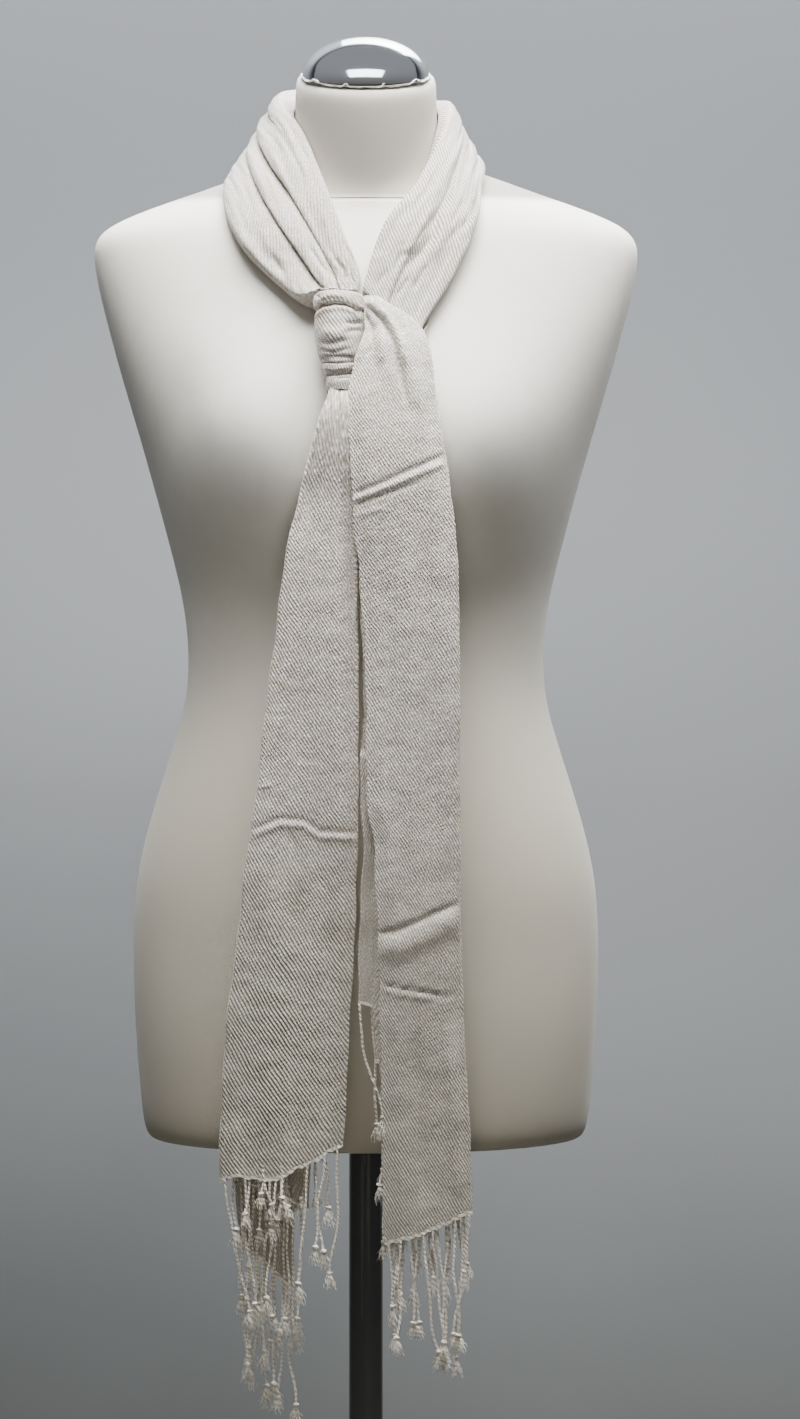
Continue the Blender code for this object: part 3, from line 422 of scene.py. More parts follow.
def lathe(profile, sides):
    """A solid of revolution about Z from (radius, height) points."""
    bm = bmesh.new()
    verts = [bm.verts.new((radius, 0, height)) for radius, height in profile]
    edges = [bm.edges.new(pair) for pair in zip(verts, verts[1:])]
    bmesh.ops.spin(bm, geom=verts + edges, cent=(0, 0, 0), axis=(0, 0, 1), angle=2 * math.pi,
                   steps=sides, use_merge=True)
    bmesh.ops.remove_doubles(bm, verts=bm.verts, dist=1e-6)
    bmesh.ops.dissolve_degenerate(bm, edges=bm.edges, dist=1e-6)
    bmesh.ops.recalc_face_normals(bm, faces=bm.faces)
    return bm


def turned(context, name, profile, sides, place=None):
    """A smooth turned piece whose real corners stay sharp."""
    bm = lathe(profile, sides)
    if place:
        bmesh.ops.transform(bm, matrix=place, verts=bm.verts)
    obj = new_object(context, name, bm)
    obj.data.set_sharp_from_angle(angle=math.radians(TURNED_CORNER))
    return obj


def node_tree(name):
    """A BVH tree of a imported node, in world coordinates."""
    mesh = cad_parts[name].data
    return BVHTree.FromPolygons([vert.co for vert in mesh.vertices],
                                [tuple(face.vertices) for face in mesh.polygons])


def bake(obj, sharp_angle):
    """Apply the modifiers and keep only real corners sharp."""
    graph = bpy.context.evaluated_depsgraph_get()
    mesh = bpy.data.meshes.new_from_object(obj.evaluated_get(graph))
    obj.modifiers.clear()
    obj.data = mesh
    mesh.shade_smooth()
    mesh.set_sharp_from_angle(angle=math.radians(sharp_angle))


# ---------------------------------------------------------------- neck loop
HEM_INSET = 0.0008       # the turned-down edges stand in a little
HEM_TUCK = 0.0022        # and in further at their ends
LOOK_AHEAD = 0.05        # how far before and after a place the loop's direction is read
LIFT_TRIES = 4
LEAST_FACING = 0.35      # how squarely a lift's direction counts as facing away from the form at least
FULL_LOBE = 0.010        # a lobe narrower than this is lower too
# Fine wrinkles that run along the loop: length, drift along it, start, and share of RIPPLE.
WRINKLES = ((0.0085, 0.31, 0.0, 1.0), (0.0053, -0.57, 1.0, 0.6))
# How each groove changes along the loop: its place, its three depths as shares of the full one,
# and how far it runs in under the lobe above it.
GrooveRow = namedtuple("GrooveRow", "place depth_a depth_b depth_c lean")
GROOVES = (
    GrooveRow(0.0, 0.00, 0.80, 0.85, 0.0020),
    GrooveRow(1.0, 0.00, 0.55, 0.90, 0.0040),
    GrooveRow(2.0, 0.00, 0.60, 0.95, 0.0050),
    GrooveRow(3.0, 0.00, 0.85, 0.90, 0.0048),
    GrooveRow(4.0, 0.06, 1.20, 0.60, 0.0040),
    GrooveRow(5.0, 0.35, 1.30, 0.50, 0.0030),
    GrooveRow(7.0, 0.60, 0.75, 0.65, 0.0020),
    GrooveRow(8.6, 0.35, 0.45, 0.60, 0.0010),
    GrooveRow(10.0, 0.02, 0.05, 0.40, 0.0004),
    GrooveRow(11.0, 0.00, 0.04, 0.22, -0.0006),
    GrooveRow(12.0, 0.00, 0.02, 0.05, -0.0006),
    GrooveRow(14.0, 0.00, 0.00, 0.00, 0.0000),
)
NECK_PRESSES = presses(
    # wearer's right side: the small fold by the knot, faint folds near the neck, a soft dent
    (18, 16, -640, 13180, -560, 13040),
    (13, 13, -565, 14200, -455, 13990, -360, 13800),
    (12, -9, -585, 14170, -480, 13960),
    (24, -10, -300, 13500, -220, 13250, -140, 13060),
    (50, 22, -830, 13420, -680, 13160, -520, 13010),
    (16, 13, -400, 13250, -300, 13090, -220, 12990),
    (14, 13, -200, 13120, -130, 13040, -130, 12960),
    (16, -10, -260, 13180, -170, 13030),
    (45, -14, -720, 13560, -600, 13350, -470, 13150),
    # wearer's left side: the long diagonal dents towards the knot
    (32, 22, 540, 13700, 490, 13480, 460, 13300, 390, 13185, 318, 13101, 257, 13020),
    (34, -13, 420, 13440, 395, 13310, 345, 13220, 270, 13130),
    (22, 12, 340, 13190, 240, 13135, 195, 13020),
    (24, 22, 805, 13800, 780, 13593, 715, 13423, 652, 13320),
    (20, -13, 770, 13790, 745, 13600, 690, 13450, 630, 13350),
    (24, 12, 640, 13900, 600, 13700, 540, 13480),
    (45, -20, 640, 13720, 560, 13400, 450, 13080),
    (40, 14, 330, 13560, 180, 13330, 60, 13100),
    (20, 15, 430, 13100, 330, 12900),
    (18, 12, 300, 13000, 220, 12850),
    (18, 10, 160, 13050, 80, 12920),
)
BACK_PRESSES = presses(
    (25, 12, -620, 14330, -180, 14400, 250, 14370),
    (20, -9, -100, 14520, 350, 14480),
    (22, 10, -550, 14180, -120, 14190),
    (18, 9, 50, 14270, 560, 14290),
)


def groove_row(position):
    """The grooves' depths and lean at a place along the loop."""
    places = [row.place for row in GROOVES]
    return GrooveRow(position, *(np.interp(position, places, [row[k] for row in GROOVES])
                                 for k in range(1, 5)))


def pleat_line(section, width, row):
    """The gathered cloth's section: lobes that overlap a little, with a slot folded in between."""
    grooves = [section.groove_a * width, section.groove_b * width, section.groove_c * width]
    depths = (row.depth_a, row.depth_b, row.depth_c)
    lean = row.lean
    sink = section.sink
    line = [Vector((HEM_TUCK, -sink)), Vector((HEM_INSET, -sink * 0.45))]
    edges = [HEM_INSET] + grooves + [width - HEM_INSET]
    over = smooth_step(-0.002, 0.004, lean)      # 0: the lobe below lies on top; 1: the one above
    # shallow grooves are wide and soft, deep ones are narrow slots
    shallow = [1.0 - min(share / SLOT_FULL, 1.0) for share in depths]
    mouths = [SLOT_MOUTH + (SLOT_WIDE - SLOT_MOUTH) * part for part in shallow]
    floors = [SLOT_FLOOR + (SLOT_SHALLOW - SLOT_FLOOR) * part for part in shallow]
    for lobe, (left, right) in enumerate(zip(edges, edges[1:])):
        start = left + (mouths[lobe - 1] if lobe else 0.0)
        end = right - (mouths[lobe] if lobe < len(grooves) else 0.0)
        height = section.rise * LOBE_RISE * min(1.0, (end - start) / FULL_LOBE)
        before = depths[lobe - 1] if lobe else 1.0
        after = depths[lobe] if lobe < len(grooves) else 1.0
        # the lobe that lies on top hangs over its groove, the other dips under it
        line += [Vector((start, height * (1.0 - before * (0.50 + 0.35 * over)))),
                 Vector((start + (end - start) * 0.28, height * (0.95 - 0.20 * over * before))),
                 Vector((start + (end - start) * 0.70, height * (0.90 + 0.15 * over * after))),
                 Vector((end, height * (1.0 - after * (0.70 - 0.35 * over))))]
        if lobe < len(grooves):
            share = depths[lobe]
            deep = height * (1.0 - share) - SLOT_DEPTH * share
            line += [Vector((right + side * floors[lobe] - lean * share, deep)) for side in (-1, 1)]
    line += [Vector((width - HEM_INSET, -sink * 0.45)), Vector((width - HEM_TUCK, -sink))]
    return line


def neck_frame(position):
    """The section at a place along the loop: its values, corner, direction across and way out."""
    last = len(NECK_LOOP) - 1
    section = Section(*spline(NECK_LOOP, position))
    ahead = Section(*spline(NECK_LOOP, min(position + LOOK_AHEAD, last)))
    behind = Section(*spline(NECK_LOOP, max(position - LOOK_AHEAD, 0)))
    top, low = Vector(section[0:3]), Vector(section[3:6])
    along = Vector(ahead[0:3]) + Vector(ahead[3:6]) - Vector(behind[0:3]) - Vector(behind[3:6])
    across = (low - top).normalized()
    return section, top, across, along.cross(across).normalized(), (low - top).length


def lift_clear(form, place, out):
    """How far along out a point has to go to lie on the form instead of in it."""
    lift = 0.0
    for _ in range(LIFT_TRIES):
        surface, normal, _, _ = form.find_nearest(place + out * lift)
        above = (place + out * lift - surface).dot(normal)
        if above >= LIE_CLEAR:
            break
        lift += (LIE_CLEAR - above) / max(out.dot(normal), LEAST_FACING)
    return lift


def neck_sheet(context, name, form, thickness):
    """A stretch of the neck loop, and the width across its folds."""
    stretch = STRETCHES[name]
    middle = SECTION_POINTS // 2
    rings, weave, outward = [], [], []
    length = 0.0
    for step in range(stretch.rings):
        position = stretch.first + (stretch.last - stretch.first) * step / (stretch.rings - 1)
        section, top, across, out, width = neck_frame(position)
        line = resample(pleat_line(section, width, groove_row(position)), SECTION_POINTS)
        for point in line:
            ripple = sum(share * math.sin(2 * math.pi * (point.x / size + drift * position) + start)
                         for size, drift, start, share in WRINKLES)
            point.y += RIPPLE * ripple * (0.6 + 0.4 * math.sin(1.9 * position))
            point.y += lift_clear(form, top + across * point.x + out * point.y, out)
        ring = [top + across * point.x + out * point.y for point in line]
        if rings:
            length += (ring[middle] - rings[-1][middle]).length
        spans = running_lengths(ring)
        rings.append(ring)
        outward += [out] * len(ring)
        weave.append([(span - spans[-1] / 2, length) for span in spans])
    bm, verts = grid_mesh(rings, weave)
    if verts[-1][middle].normal.dot(out) < 0:
        bmesh.ops.reverse_faces(bm, faces=bm.faces)
        bm.normal_update()
    flat, xs, zs = front_places(verts)
    if name.endswith("back"):
        push_along_normals(bm, flat, 1, press_depth(BACK_PRESSES, xs, zs))
    else:
        for vert, out, depth in zip(flat, outward, press_depth(NECK_PRESSES, xs, zs)):
            if depth:
                vert.co -= out * float(depth)
                vert.co += out * lift_clear(form, vert.co, out)
        bm.normal_update()
    cut_width = max(row[-1][0] - row[0][0] for row in weave)
    return walled(context, name.replace("shawl", "cloth"), bm, thickness), cut_width


# ---------------------------------------------------------------- knot
KNOT_PRESSES = presses(
    # the collar's rolled lower edge, the pinch, and the creases under the bulge
    (11, 26, -360, 12725, -290, 12768, -200, 12780, -110, 12772, 10, 12690),
    (14, -8, -340, 12800, -230, 12835, -100, 12820),
    (14, -14, -345, 12690, -270, 12735, -180, 12748, -100, 12735, -20, 12670),
    (11, 10, -330, 12860, -270, 12790),
    (11, 12, -40, 12850, -10, 12760),
    (14, 16, -5, 12660, -60, 12640, -130, 12650),
    (16, 12, -10, 12600, -80, 12590, -150, 12560),
    (35, -12, -300, 12600, -200, 12560, -80, 12580),
    (14, 10, -310, 12520, -220, 12500, -100, 12530),
    (12, 9, -300, 12465, -200, 12440, -80, 12470),
    (9, 18, -300, 12385, -180, 12368, -20, 12385),
    (10, -8, -290, 12345, -200, 12328, -90, 12340),
    (9, 16, -280, 12300, -180, 12288, -40, 12305),
    (9, 10, -200, 12262, -80, 12275),
)


def knot_sheet(context, thickness):
    """The turn of cloth round the other end: a barrel with rolled bands, open at both ends."""
    rings, weave = [], []
    girth = 2 * math.pi * KNOT[KNOT_GIRTH_ROW].half_width
    for step in range(KNOT_RINGS):
        share = step / (KNOT_RINGS - 1)
        row = KnotRing(*spline(KNOT, share * (len(KNOT) - 1)))
        ring = []
        for i in range(KNOT_SIDES):
            angle = 2 * math.pi * i / KNOT_SIDES
            side = (row.half_width - thickness / 2) * math.cos(angle)
            depth = (row.half_depth - thickness / 2) * math.sin(angle)
            lift = side * KNOT_SLOPE - KNOT_ARCH * math.sin(angle)
            ring.append(Vector((row.centre_x + side, row.centre_y + depth, row.height + lift)))
        rings.append(ring)
        weave.append([(girth * i / KNOT_SIDES, -row.height) for i in range(KNOT_SIDES)])
    bm, verts = grid_mesh(rings, weave, closed=True)
    flat, xs, zs = front_places(verts)
    bmesh.ops.recalc_face_normals(bm, faces=bm.faces)
    bm.normal_update()
    push_along_normals(bm, flat, -1, press_depth(KNOT_PRESSES, xs, zs))
    return walled(context, "cloth_knot", bm, thickness)


# ---------------------------------------------------------------- tails
Stop = namedtuple("Stop", "layer part fold")
LEFT_PRESSES = presses(
    # the crosswise crease with its raised lower lip
    (18, 6, -960, 9155, -740, 9248, -560, 9323, -400, 9313, -300, 9240, 120, 9220),
    (20, -7, -960, 9110, -740, 9208, -560, 9283, -400, 9273, -300, 9198, 120, 9178),
    (24, 6, -520, 9240, -440, 9120, -420, 8950),
    # a pulled thread
    (9, -9, -740, 9516, -670, 9534, -600, 9548),
    # soft lengthwise folds
    (60, 16, -300, 11900, -400, 10800, -450, 9500),
    (50, 18, -420, 9000, -450, 8000, -480, 7050),
    (60, -15, -560, 9050, -620, 8000, -660, 7000),
    (55, -15, -160, 11500, -180, 10000, -180, 8600),
    (40, 14, -230, 8800, -250, 7800, -270, 7120),
    (45, 13, -700, 8850, -790, 7900, -850, 7000),
    # bunched ribs under the knot
    (13, 9, -210, 12220, -235, 12000, -270, 11500),
    (13, 9, -165, 12220, -165, 12000, -170, 11400),
    (11, 7, -130, 12200, -120, 11950, -115, 11500),
    (20, 8, -285, 12050, -330, 11700, -370, 11200),
)
RIGHT_PRESSES = presses(
    # the lobes that run out of the pinch
    (15, 34, -30, 12790, 50, 12740, 140, 12640, 210, 12500, 250, 12300, 300, 12050),
    (24, -22, 60, 12790, 160, 12690, 240, 12540, 285, 12320),
    (13, 22, 0, 12730, 60, 12610, 65, 12500, 20, 12400),
    (18, -12, 10, 12660, -10, 12500, -60, 12360),
    (22, -12, 110, 12640, 130, 12500, 120, 12350),
    (55, -14, 200, 12600, 320, 12350, 390, 12000),
    (45, -12, 60, 12620, 130, 12450, 190, 12200),
    # two crosswise creases above the waist
    (17, 10, -180, 11445, 80, 11542, 240, 11614, 640, 11790),
    (18, -10, -180, 11405, 100, 11505, 280, 11580, 660, 11740),
    (14, 7, -180, 11366, 80, 11458, 200, 11500, 420, 11580),
    (16, -5, -150, 11325, 20, 11355, 160, 11400),
    # the big fold over the hip: a soft trough, a wide swell below it and the swell's fine lower rim
    (26, 12, -20, 8530, 70, 8543, 236, 8580, 423, 8666, 700, 8790),
    (80, -17, -20, 8425, 70, 8435, 276, 8465, 423, 8545, 700, 8690),
    (15, 11, 50, 8310, 75, 8272, 125, 8214, 256, 8187, 516, 8147, 620, 8141),
    (14, -9, 60, 8290, 83, 8251, 130, 8191, 256, 8163, 516, 8123),
    # soft lengthwise folds
    (50, 14, 120, 11300, 160, 10400, 170, 9000),
    (60, 13, 420, 11400, 450, 10200, 450, 8900),
    (55, -13, 300, 11300, 310, 10000, 300, 8900),
    (55, 15, 350, 7900, 380, 7300, 400, 6700),
    (45, -13, 580, 7900, 620, 7200, 640, 6700),
)


class Tail:
    """A hanging end of the shawl: eight layers folded back and forth, with an oblique hem."""

    def __init__(self, rows, layers, hem, first_side, presses, hem_line, overlap, creased, steep, fan):
        self.rows, self.layers, self.hem, self.hem_line = rows, layers, hem, hem_line
        self.first_side = first_side     # the edge at which the first layer starts
        self.presses = presses
        self.overlap = overlap           # how far the front layers reach over the other end
        self.creased = creased           # the heights between which the rows lie close
        self.steep = steep               # the height above which the ribs turn steep
        self.fan = fan                   # above 1, only the rearmost layers fan out to the left
        self.top = rows[0].height
        self.tables = {}

    def value(self, height, column):
        key = (round(height, 5), column)
        if key not in self.tables:
            self.tables[key] = table_value(self.rows, height, TailRow._fields.index(column))
        return self.tables[key]

    def edges(self, place, height):
        """The left and right edge of the layer at a place from the front."""
        part = place / (LAYERS - 1)
        shift = self.value(height, "left_shift")
        left = self.value(height, "left") + shift * (part ** self.fan if shift < 0 else part) + HALF_WALL
        right = self.value(height, "right") + self.value(height, "right_shift") * part - HALF_WALL
        if place < OVERLAP_LAYERS:
            below = smooth_step(KNOT[-1].height + OVERLAP_ABOVE, KNOT[-1].height - OVERLAP_BELOW, height)
            above = smooth_step(OVERLAP_END, OVERLAP_START, height)
            left -= self.overlap * below * above * (1.0 - place / OVERLAP_LAYERS)
        wobble = waves(EDGE_WAVES, height, place)
        fade = smooth_step(self.top - WOBBLE_START, self.top - WOBBLE_FULL, height)
        return left + wobble * fade, right + 0.7 * wobble * fade

    def depth(self, place, height, side):
        """How far forward or back a layer's middle lies."""
        front = self.value(height, "front") + HALF_WALL
        fade = smooth_step(self.top - WAVE_START, self.top - WAVE_FULL, height)
        drift = WAVE_DRIFT * max(height, LEVEL_END)
        wave = WAVE_DEPTH * fade * math.sin(2 * math.pi * (side + drift) / WAVE_LENGTH)
        roll = TOP_ROLL * smooth_step(self.top - TOP_ROLLED, self.top, height) ** 2
        left, right = self.edges(0, height)
        reach = min(EDGE_REACH, (right - left) / 3)
        bow = EDGE_BOW * (reach / EDGE_REACH) * (1.0 - smooth_step(0.0, reach, min(side - left, right - side)))
        depth = front + self.value(height, "step") * place + wave + roll + bow * (1.0 - place / (LAYERS - 1))
        free = left - self.edges(LAYERS - 1, height)[0]
        if self.fan > 1 and place == LAYERS - 1 and free > FREE_LEAST:
            depth -= FREE_CURL * smooth_step(0.35, 0.75, (left - side) / free)
        return depth

    def turn(self, layer):
        return abs(self.layers[layer + 1] - self.layers[layer])

    def room(self, layer):
        return FOLD_ROOM if 0 <= layer < LAYERS - 1 else 0.0

    def course(self):
        """The cloth's way through its layers, as stops."""
        stops = []
        for layer in range(LAYERS):
            points = FRONT_POINTS if self.layers[layer] == 0 else INNER_POINTS
            stops += [Stop(layer, i / (points - 1), 0.0) for i in range(points)]
            if layer < LAYERS - 1:
                count = NARROW_FOLD_POINTS if self.turn(layer) == 1 else WIDE_FOLD_POINTS
                stops += [Stop(layer, 1.0, (i + 1) / (count + 1)) for i in range(count)]
        return stops

    def nested(self, layer):
        """How far a layer inside the wide fold at the left edge stays short of it."""
        wide = [i for i in range(LAYERS - 1) if self.turn(i) > 1]
        if not wide:
            return 0.0
        inside = self.layers[wide[0]] < self.layers[layer] < self.layers[wide[0] + 1]
        return NEST_ROOM if inside else 0.0

    def stop_point(self, stop, height):
        """Where one stop of the course lies, in plan, at a height."""
        starts_left = (stop.layer % 2 == 0) == (self.first_side == "left")
        place = self.layers[stop.layer]
        left, right = self.edges(place, height)
        spread = smooth_step(GATHERED, SPREAD, right - left)
        left += self.nested(stop.layer) * (NEST_TIGHT + (1 - NEST_TIGHT) * spread)
        start, end = (left, right) if starts_left else (right, left)
        heading = 1.0 if starts_left else -1.0
        last = end - heading * self.room(stop.layer)
        if stop.fold:
            near = self.depth(place, height, end)
            far = self.depth(self.layers[stop.layer + 1], height, end)
            turned = math.pi * stop.fold
            return (last + heading * self.room(stop.layer) * math.sin(turned),
                    near + (far - near) * (1 - math.cos(turned)) / 2)
        first = start + heading * self.room(stop.layer - 1)
        side = first + (last - first) * stop.part
        return side, self.depth(place, height, side)

    def across(self, stops):
        """How far across the flat cloth each stop lies."""
        places = running_lengths([Vector(self.stop_point(stop, FULL_SPREAD)) for stop in stops])
        return [place * CLOTH_CUT_WIDTH / places[-1] for place in places]

    def weave(self, across, stops, points):
        """The cloth's own coordinates: gathered cloth shows only part of its width."""
        front = self.layers.index(0)
        fixed = across[next(i for i, stop in enumerate(stops) if stop.layer == front)]
        full = self.value(FULL_SPREAD, "right") - self.value(FULL_SPREAD, "left")
        places = []
        for u, point in zip(across, points):
            height = point[2]
            shown = min(1.0, (self.value(height, "right") - self.value(height, "left")) / full)
            above = min(max((height - self.steep) / STEEP_FADE, 0.0), 1.0)
            past = max(height - self.steep - STEEP_FADE, 0.0)
            drop = height - (1.0 - STEEP_SHARE) * (STEEP_FADE * above * above / 2 + past)
            places.append((fixed + (u - fixed) * shown, -drop))
        return places

    def hem_height(self, stop):
        if stop.fold:
            return self.hem[stop.layer + 1]
        height = self.hem[stop.layer] + (self.hem[stop.layer + 1] - self.hem[stop.layer]) * stop.part
        if self.layers[stop.layer] == 0:
            height += spline([(value,) for value in self.hem_line], stop.part * (len(self.hem_line) - 1))[0]
        ripple = waves(HEM_WAVES, stop.part, stop.layer)
        return height + HEM_RIPPLE * ripple * math.sin(math.pi * stop.part)

    def pressed(self, stops, points):
        """The points, (x, y, z) for each stop, with the creases pressed into the front layer."""
        moved = np.array(points, float)
        front = np.array([self.layers[stop.layer] == 0 and not stop.fold for stop in stops])
        rim = np.array([min(stop.part, 1 - stop.part) for stop in stops])
        hold = RIM_HOLD + (1 - RIM_HOLD) * np.clip(rim / RIM_WIDTH, 0, 1)
        moved[front, 1] += press_depth(self.presses, moved[front, 0], moved[front, 2]) * hold[front]
        return moved

    def mesh(self, stops, rows):
        """A sheet along the cloth's course; each row holds a height for each stop."""
        across = self.across(stops)
        rings, weave = [], []
        for heights in rows:
            points = [(*self.stop_point(stop, height), height) for stop, height in zip(stops, heights)]
            rings.append([Vector(point) for point in self.pressed(stops, points)])
            weave.append(self.weave(across, stops, points))
        return grid_mesh(rings, weave)[0]


def tails():
    return {
        "left": Tail(TAIL_LEFT, LEFT_LAYERS, LEFT_HEM, "right", LEFT_PRESSES, LEFT_HEM_LINE,
                     overlap=0.0, creased=LEFT_CREASED, steep=1.130, fan=1.0),
        "right": Tail(TAIL_RIGHT, RIGHT_LAYERS, RIGHT_HEM, "left", RIGHT_PRESSES, RIGHT_HEM_LINE,
                      overlap=0.0030, creased=RIGHT_CREASED, steep=1.300, fan=8.0),
    }


def tail_sheet(context, side, tail, thickness):
    """An end's cloth: level rows at first, then rows that turn into the slanting hem."""
    slices = []
    level = tail.top
    while level > LEVEL_END + CREASE_STEP:
        slices.append((level, 0.0))
        level -= CREASE_STEP if any(low < level < high for low, high in tail.creased) else ROW_STEP
    slices += [(LEVEL_END, (i / HEM_ROWS) ** 0.9) for i in range(HEM_ROWS + 1)]
    stops = tail.course()
    rows = [[level + (tail.hem_height(stop) - level) * part for stop in stops] for level, part in slices]
    return walled(context, "cloth_tail_" + side, tail.mesh(stops, rows), thickness)


# ---------------------------------------------------------------- fringe
PLY_SIDES = 4
PLY_RINGS = 96
PLY_PITCH = 0.0062       # length of one twist of a strand
PLY_APART, PLY_FAT = 0.95, 1.08      # how far each ply winds off the strand's middle, and its radius
KNOT_LOOPS = ((0.5, 1.0), (-0.9, 0.8))        # the tilt and size of the two loops of a strand's knot
KNOT_TURN = 8            # steps round such a loop
TUFT_HAIRS = 26
HAIR_WIDTHS = (0.75, 0.62, 0.5, 0.36, 0.16)   # a hair's radius from its root to its tip, in plies
HAIR_TURN = 2.4          # radians from one hair to the next
HAIR_CURL = 0.0019
# How a strand wanders sideways and forward, by its number and by the share of its length.
SIDE_WAVES = ((1.0, 1.7, 4.3, 0.0), (0.6, 3.1, 9.1, 0.0))
FORWARD_WAVES = ((0.5, 2.3, 5.7, 0.0),)


def tube(bm, centres, radii, sides, caps=True):
    """A thin tube of rings square to its way, added to the mesh."""
    rings = []
    normal = Vector((0.0, 1.0, 0.0))
    for i, centre in enumerate(centres):
        way = (centres[min(i + 1, len(centres) - 1)] - centres[max(i - 1, 0)]).normalized()
        across = way.cross(normal)
        across = across.normalized() if across.length > 0.05 else way.orthogonal().normalized()
        normal = across.cross(way).normalized()
        ring = []
        for k in range(sides):
            angle = 2 * math.pi * k / sides
            ring.append(bm.verts.new(centre + (across * math.cos(angle) + normal * math.sin(angle)) * radii[i]))
        rings.append(ring)
    for near, far in zip(rings, rings[1:]):
        for k in range(sides):
            n = (k + 1) % sides
            bm.faces.new((near[k], near[n], far[n], far[k]))
    if caps:
        bm.faces.new(reversed(rings[0]))
        bm.faces.new(rings[-1])


def wander(seed, share, scale):
    """A small smooth sideways wave that differs from strand to strand."""
    return Vector((waves(SIDE_WAVES, seed, share), waves(FORWARD_WAVES, seed, share), 0.0)) * scale * share


def strand(bm, root, sway, seed, length, settings):
    """A two-ply twisted strand, its knot and the fluffy tuft under it."""
    ply = settings.strand_width / 4
    shares = [i / (PLY_RINGS - 1) for i in range(PLY_RINGS)]
    middle = [root + sway * share ** SWAY_BEND + Vector((0.0, 0.0, -length * share))
              + wander(seed, share, settings.waviness) for share in shares]
    for turn in (0.0, math.pi):
        centres = []
        for i, centre in enumerate(middle):
            angle = turn + seed + 2 * math.pi * length * i / (PLY_RINGS - 1) / PLY_PITCH
            centres.append(centre + Vector((math.cos(angle), math.sin(angle), 0.0)) * ply * PLY_APART)
        tube(bm, centres, [ply * PLY_FAT] * PLY_RINGS, PLY_SIDES)
    end = middle[-1]
    # the knot: a flattened ring of yarn with a smaller loop across it
    knot = settings.strand_width * 0.70
    for tilt, size in KNOT_LOOPS:
        angles = [2 * math.pi * i / KNOT_TURN for i in range(KNOT_TURN + 1)]
        loop = [end + Vector((math.cos(angle) * knot, math.sin(angle) * knot * 0.8,
                              math.sin(angle + seed) * knot * 0.7 * tilt)) * size for angle in angles]
        tube(bm, loop, [knot * 0.62] * len(loop), 5, caps=False)
    # the tuft: loose ends that spread and curl
    tuft_length = TUFT_LENGTH * (0.75 + 0.35 * math.sin(seed * 5.1) ** 2)
    for hair in range(TUFT_HAIRS):
        angle = HAIR_TURN * hair + seed
        spread = settings.strand_width * (0.4 + 2.2 * ((hair * 0.618 + seed) % 1.0))
        points = []
        for i in range(len(HAIR_WIDTHS)):
            share = i / (len(HAIR_WIDTHS) - 1)
            curl = math.sin(share * 4.5 + hair * 1.3 + seed) * HAIR_CURL * share
            points.append(end + Vector((math.cos(angle) * spread * share ** 0.8 + curl,
                                        math.sin(angle) * spread * share ** 0.8,
                                        -tuft_length * share * (0.8 + 0.2 * math.sin(hair * 2.9)))))
        tube(bm, points, [ply * width for width in HAIR_WIDTHS], 3, caps=False)


def fringe_edge(context, side, tail, thickness):
    """The woven strip under the hem, on the tail's course, a little frayed."""
    stops = tail.course()
    frayed = [waves(FRAY_WAVES, stop.part, stop.layer) for stop in stops]
    rows = [[tail.hem_height(stop) - down * (1.0 + fray) for stop, fray in zip(stops, frayed)]
            for down in (SEAM, FRINGE_STRIP * 0.3, FRINGE_STRIP * 0.6)]
    return walled(context, "fringe_edge_" + side, tail.mesh(stops, rows), thickness * HEM_CORD)


def fringe_strands(context, side, tail, settings):
    bm = bmesh.new()
    number = 0
    for layer in range(LAYERS):
        place = tail.layers[layer]
        own = OWN_STRANDS.get((side, place))
        for i in range(STRANDS_PER_LAYER):
            part = own[i].part if own else (i + 0.5) / STRANDS_PER_LAYER
            stop = Stop(layer, part, 0.0)
            height = tail.hem_height(stop) - FRINGE_STRIP * 0.4
            x, y = tail.stop_point(stop, height)
            if own:
                sway, length = Vector((own[i].sway, -own[i].forward, 0.0)), own[i].length
            else:
                sway = Vector((STRAND_SWAY * math.sin(x * SWAY_TURNS + place * SWAY_LAYER), 0.0, 0.0))
                length = KNOT_DOWN - STRAND_UNEVEN * math.sin(number * UNEVEN_TURN)
            strand(bm, Vector((x, y, height)), sway, number * 1.37 + (0.4 if side == "left" else 2.2),
                   length, settings)
            number += 1
    return new_object(context, "fringe_yarn_" + side, bm)


# ---------------------------------------------------------------- dress form and stand
CUT_EDGE_WIDTH = 0.0034  # raw jersey that peeps out under the dome
CUT_EDGE_POINTS = 180
CUT_EDGE_WALL = 0.0005
CUT_EDGE_HIDDEN = 0.004  # how far it reaches in under the dome
RAGGED_WAVES = ((0.5, 9, 0.0, 0.0), (0.7, 23, 0.0, 1.3), (0.5, 41, 0.0, 0.0))
SKIN_LEVELS = 2
SKIN_CORNER = 60.0       # corners sharper than this, in degrees, stay sharp in the jersey
TURNED_CORNER = 50.0     # and in turned pieces
DOME_STEPS = 24
DOME_RIM = ((0.0, 0.0011), (0.0003, 0.0004), (0.0012, 0.0001))    # how far in and how high it runs


def form_skin(context):
    """The jersey cover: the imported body's form, made smooth."""
    bm = bmesh.new()
    bm.from_mesh(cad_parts["form_body"].data)
    bmesh.ops.remove_doubles(bm, verts=bm.verts, dist=1e-5)
    bmesh.ops.dissolve_limit(bm, angle_limit=math.radians(0.1), verts=bm.verts,
                             edges=[edge for edge in bm.edges if edge.calc_face_angle(1.0) < 0.001])
    bmesh.ops.join_triangles(bm, faces=bm.faces, angle_face_threshold=3.1, angle_shape_threshold=3.1)
    obj = new_object(context, "jersey_cover", bm)
    smooth = obj.modifiers.new("smooth", "SUBSURF")
    smooth.levels = smooth.render_levels = SKIN_LEVELS
    bake(obj, SKIN_CORNER)
    return obj


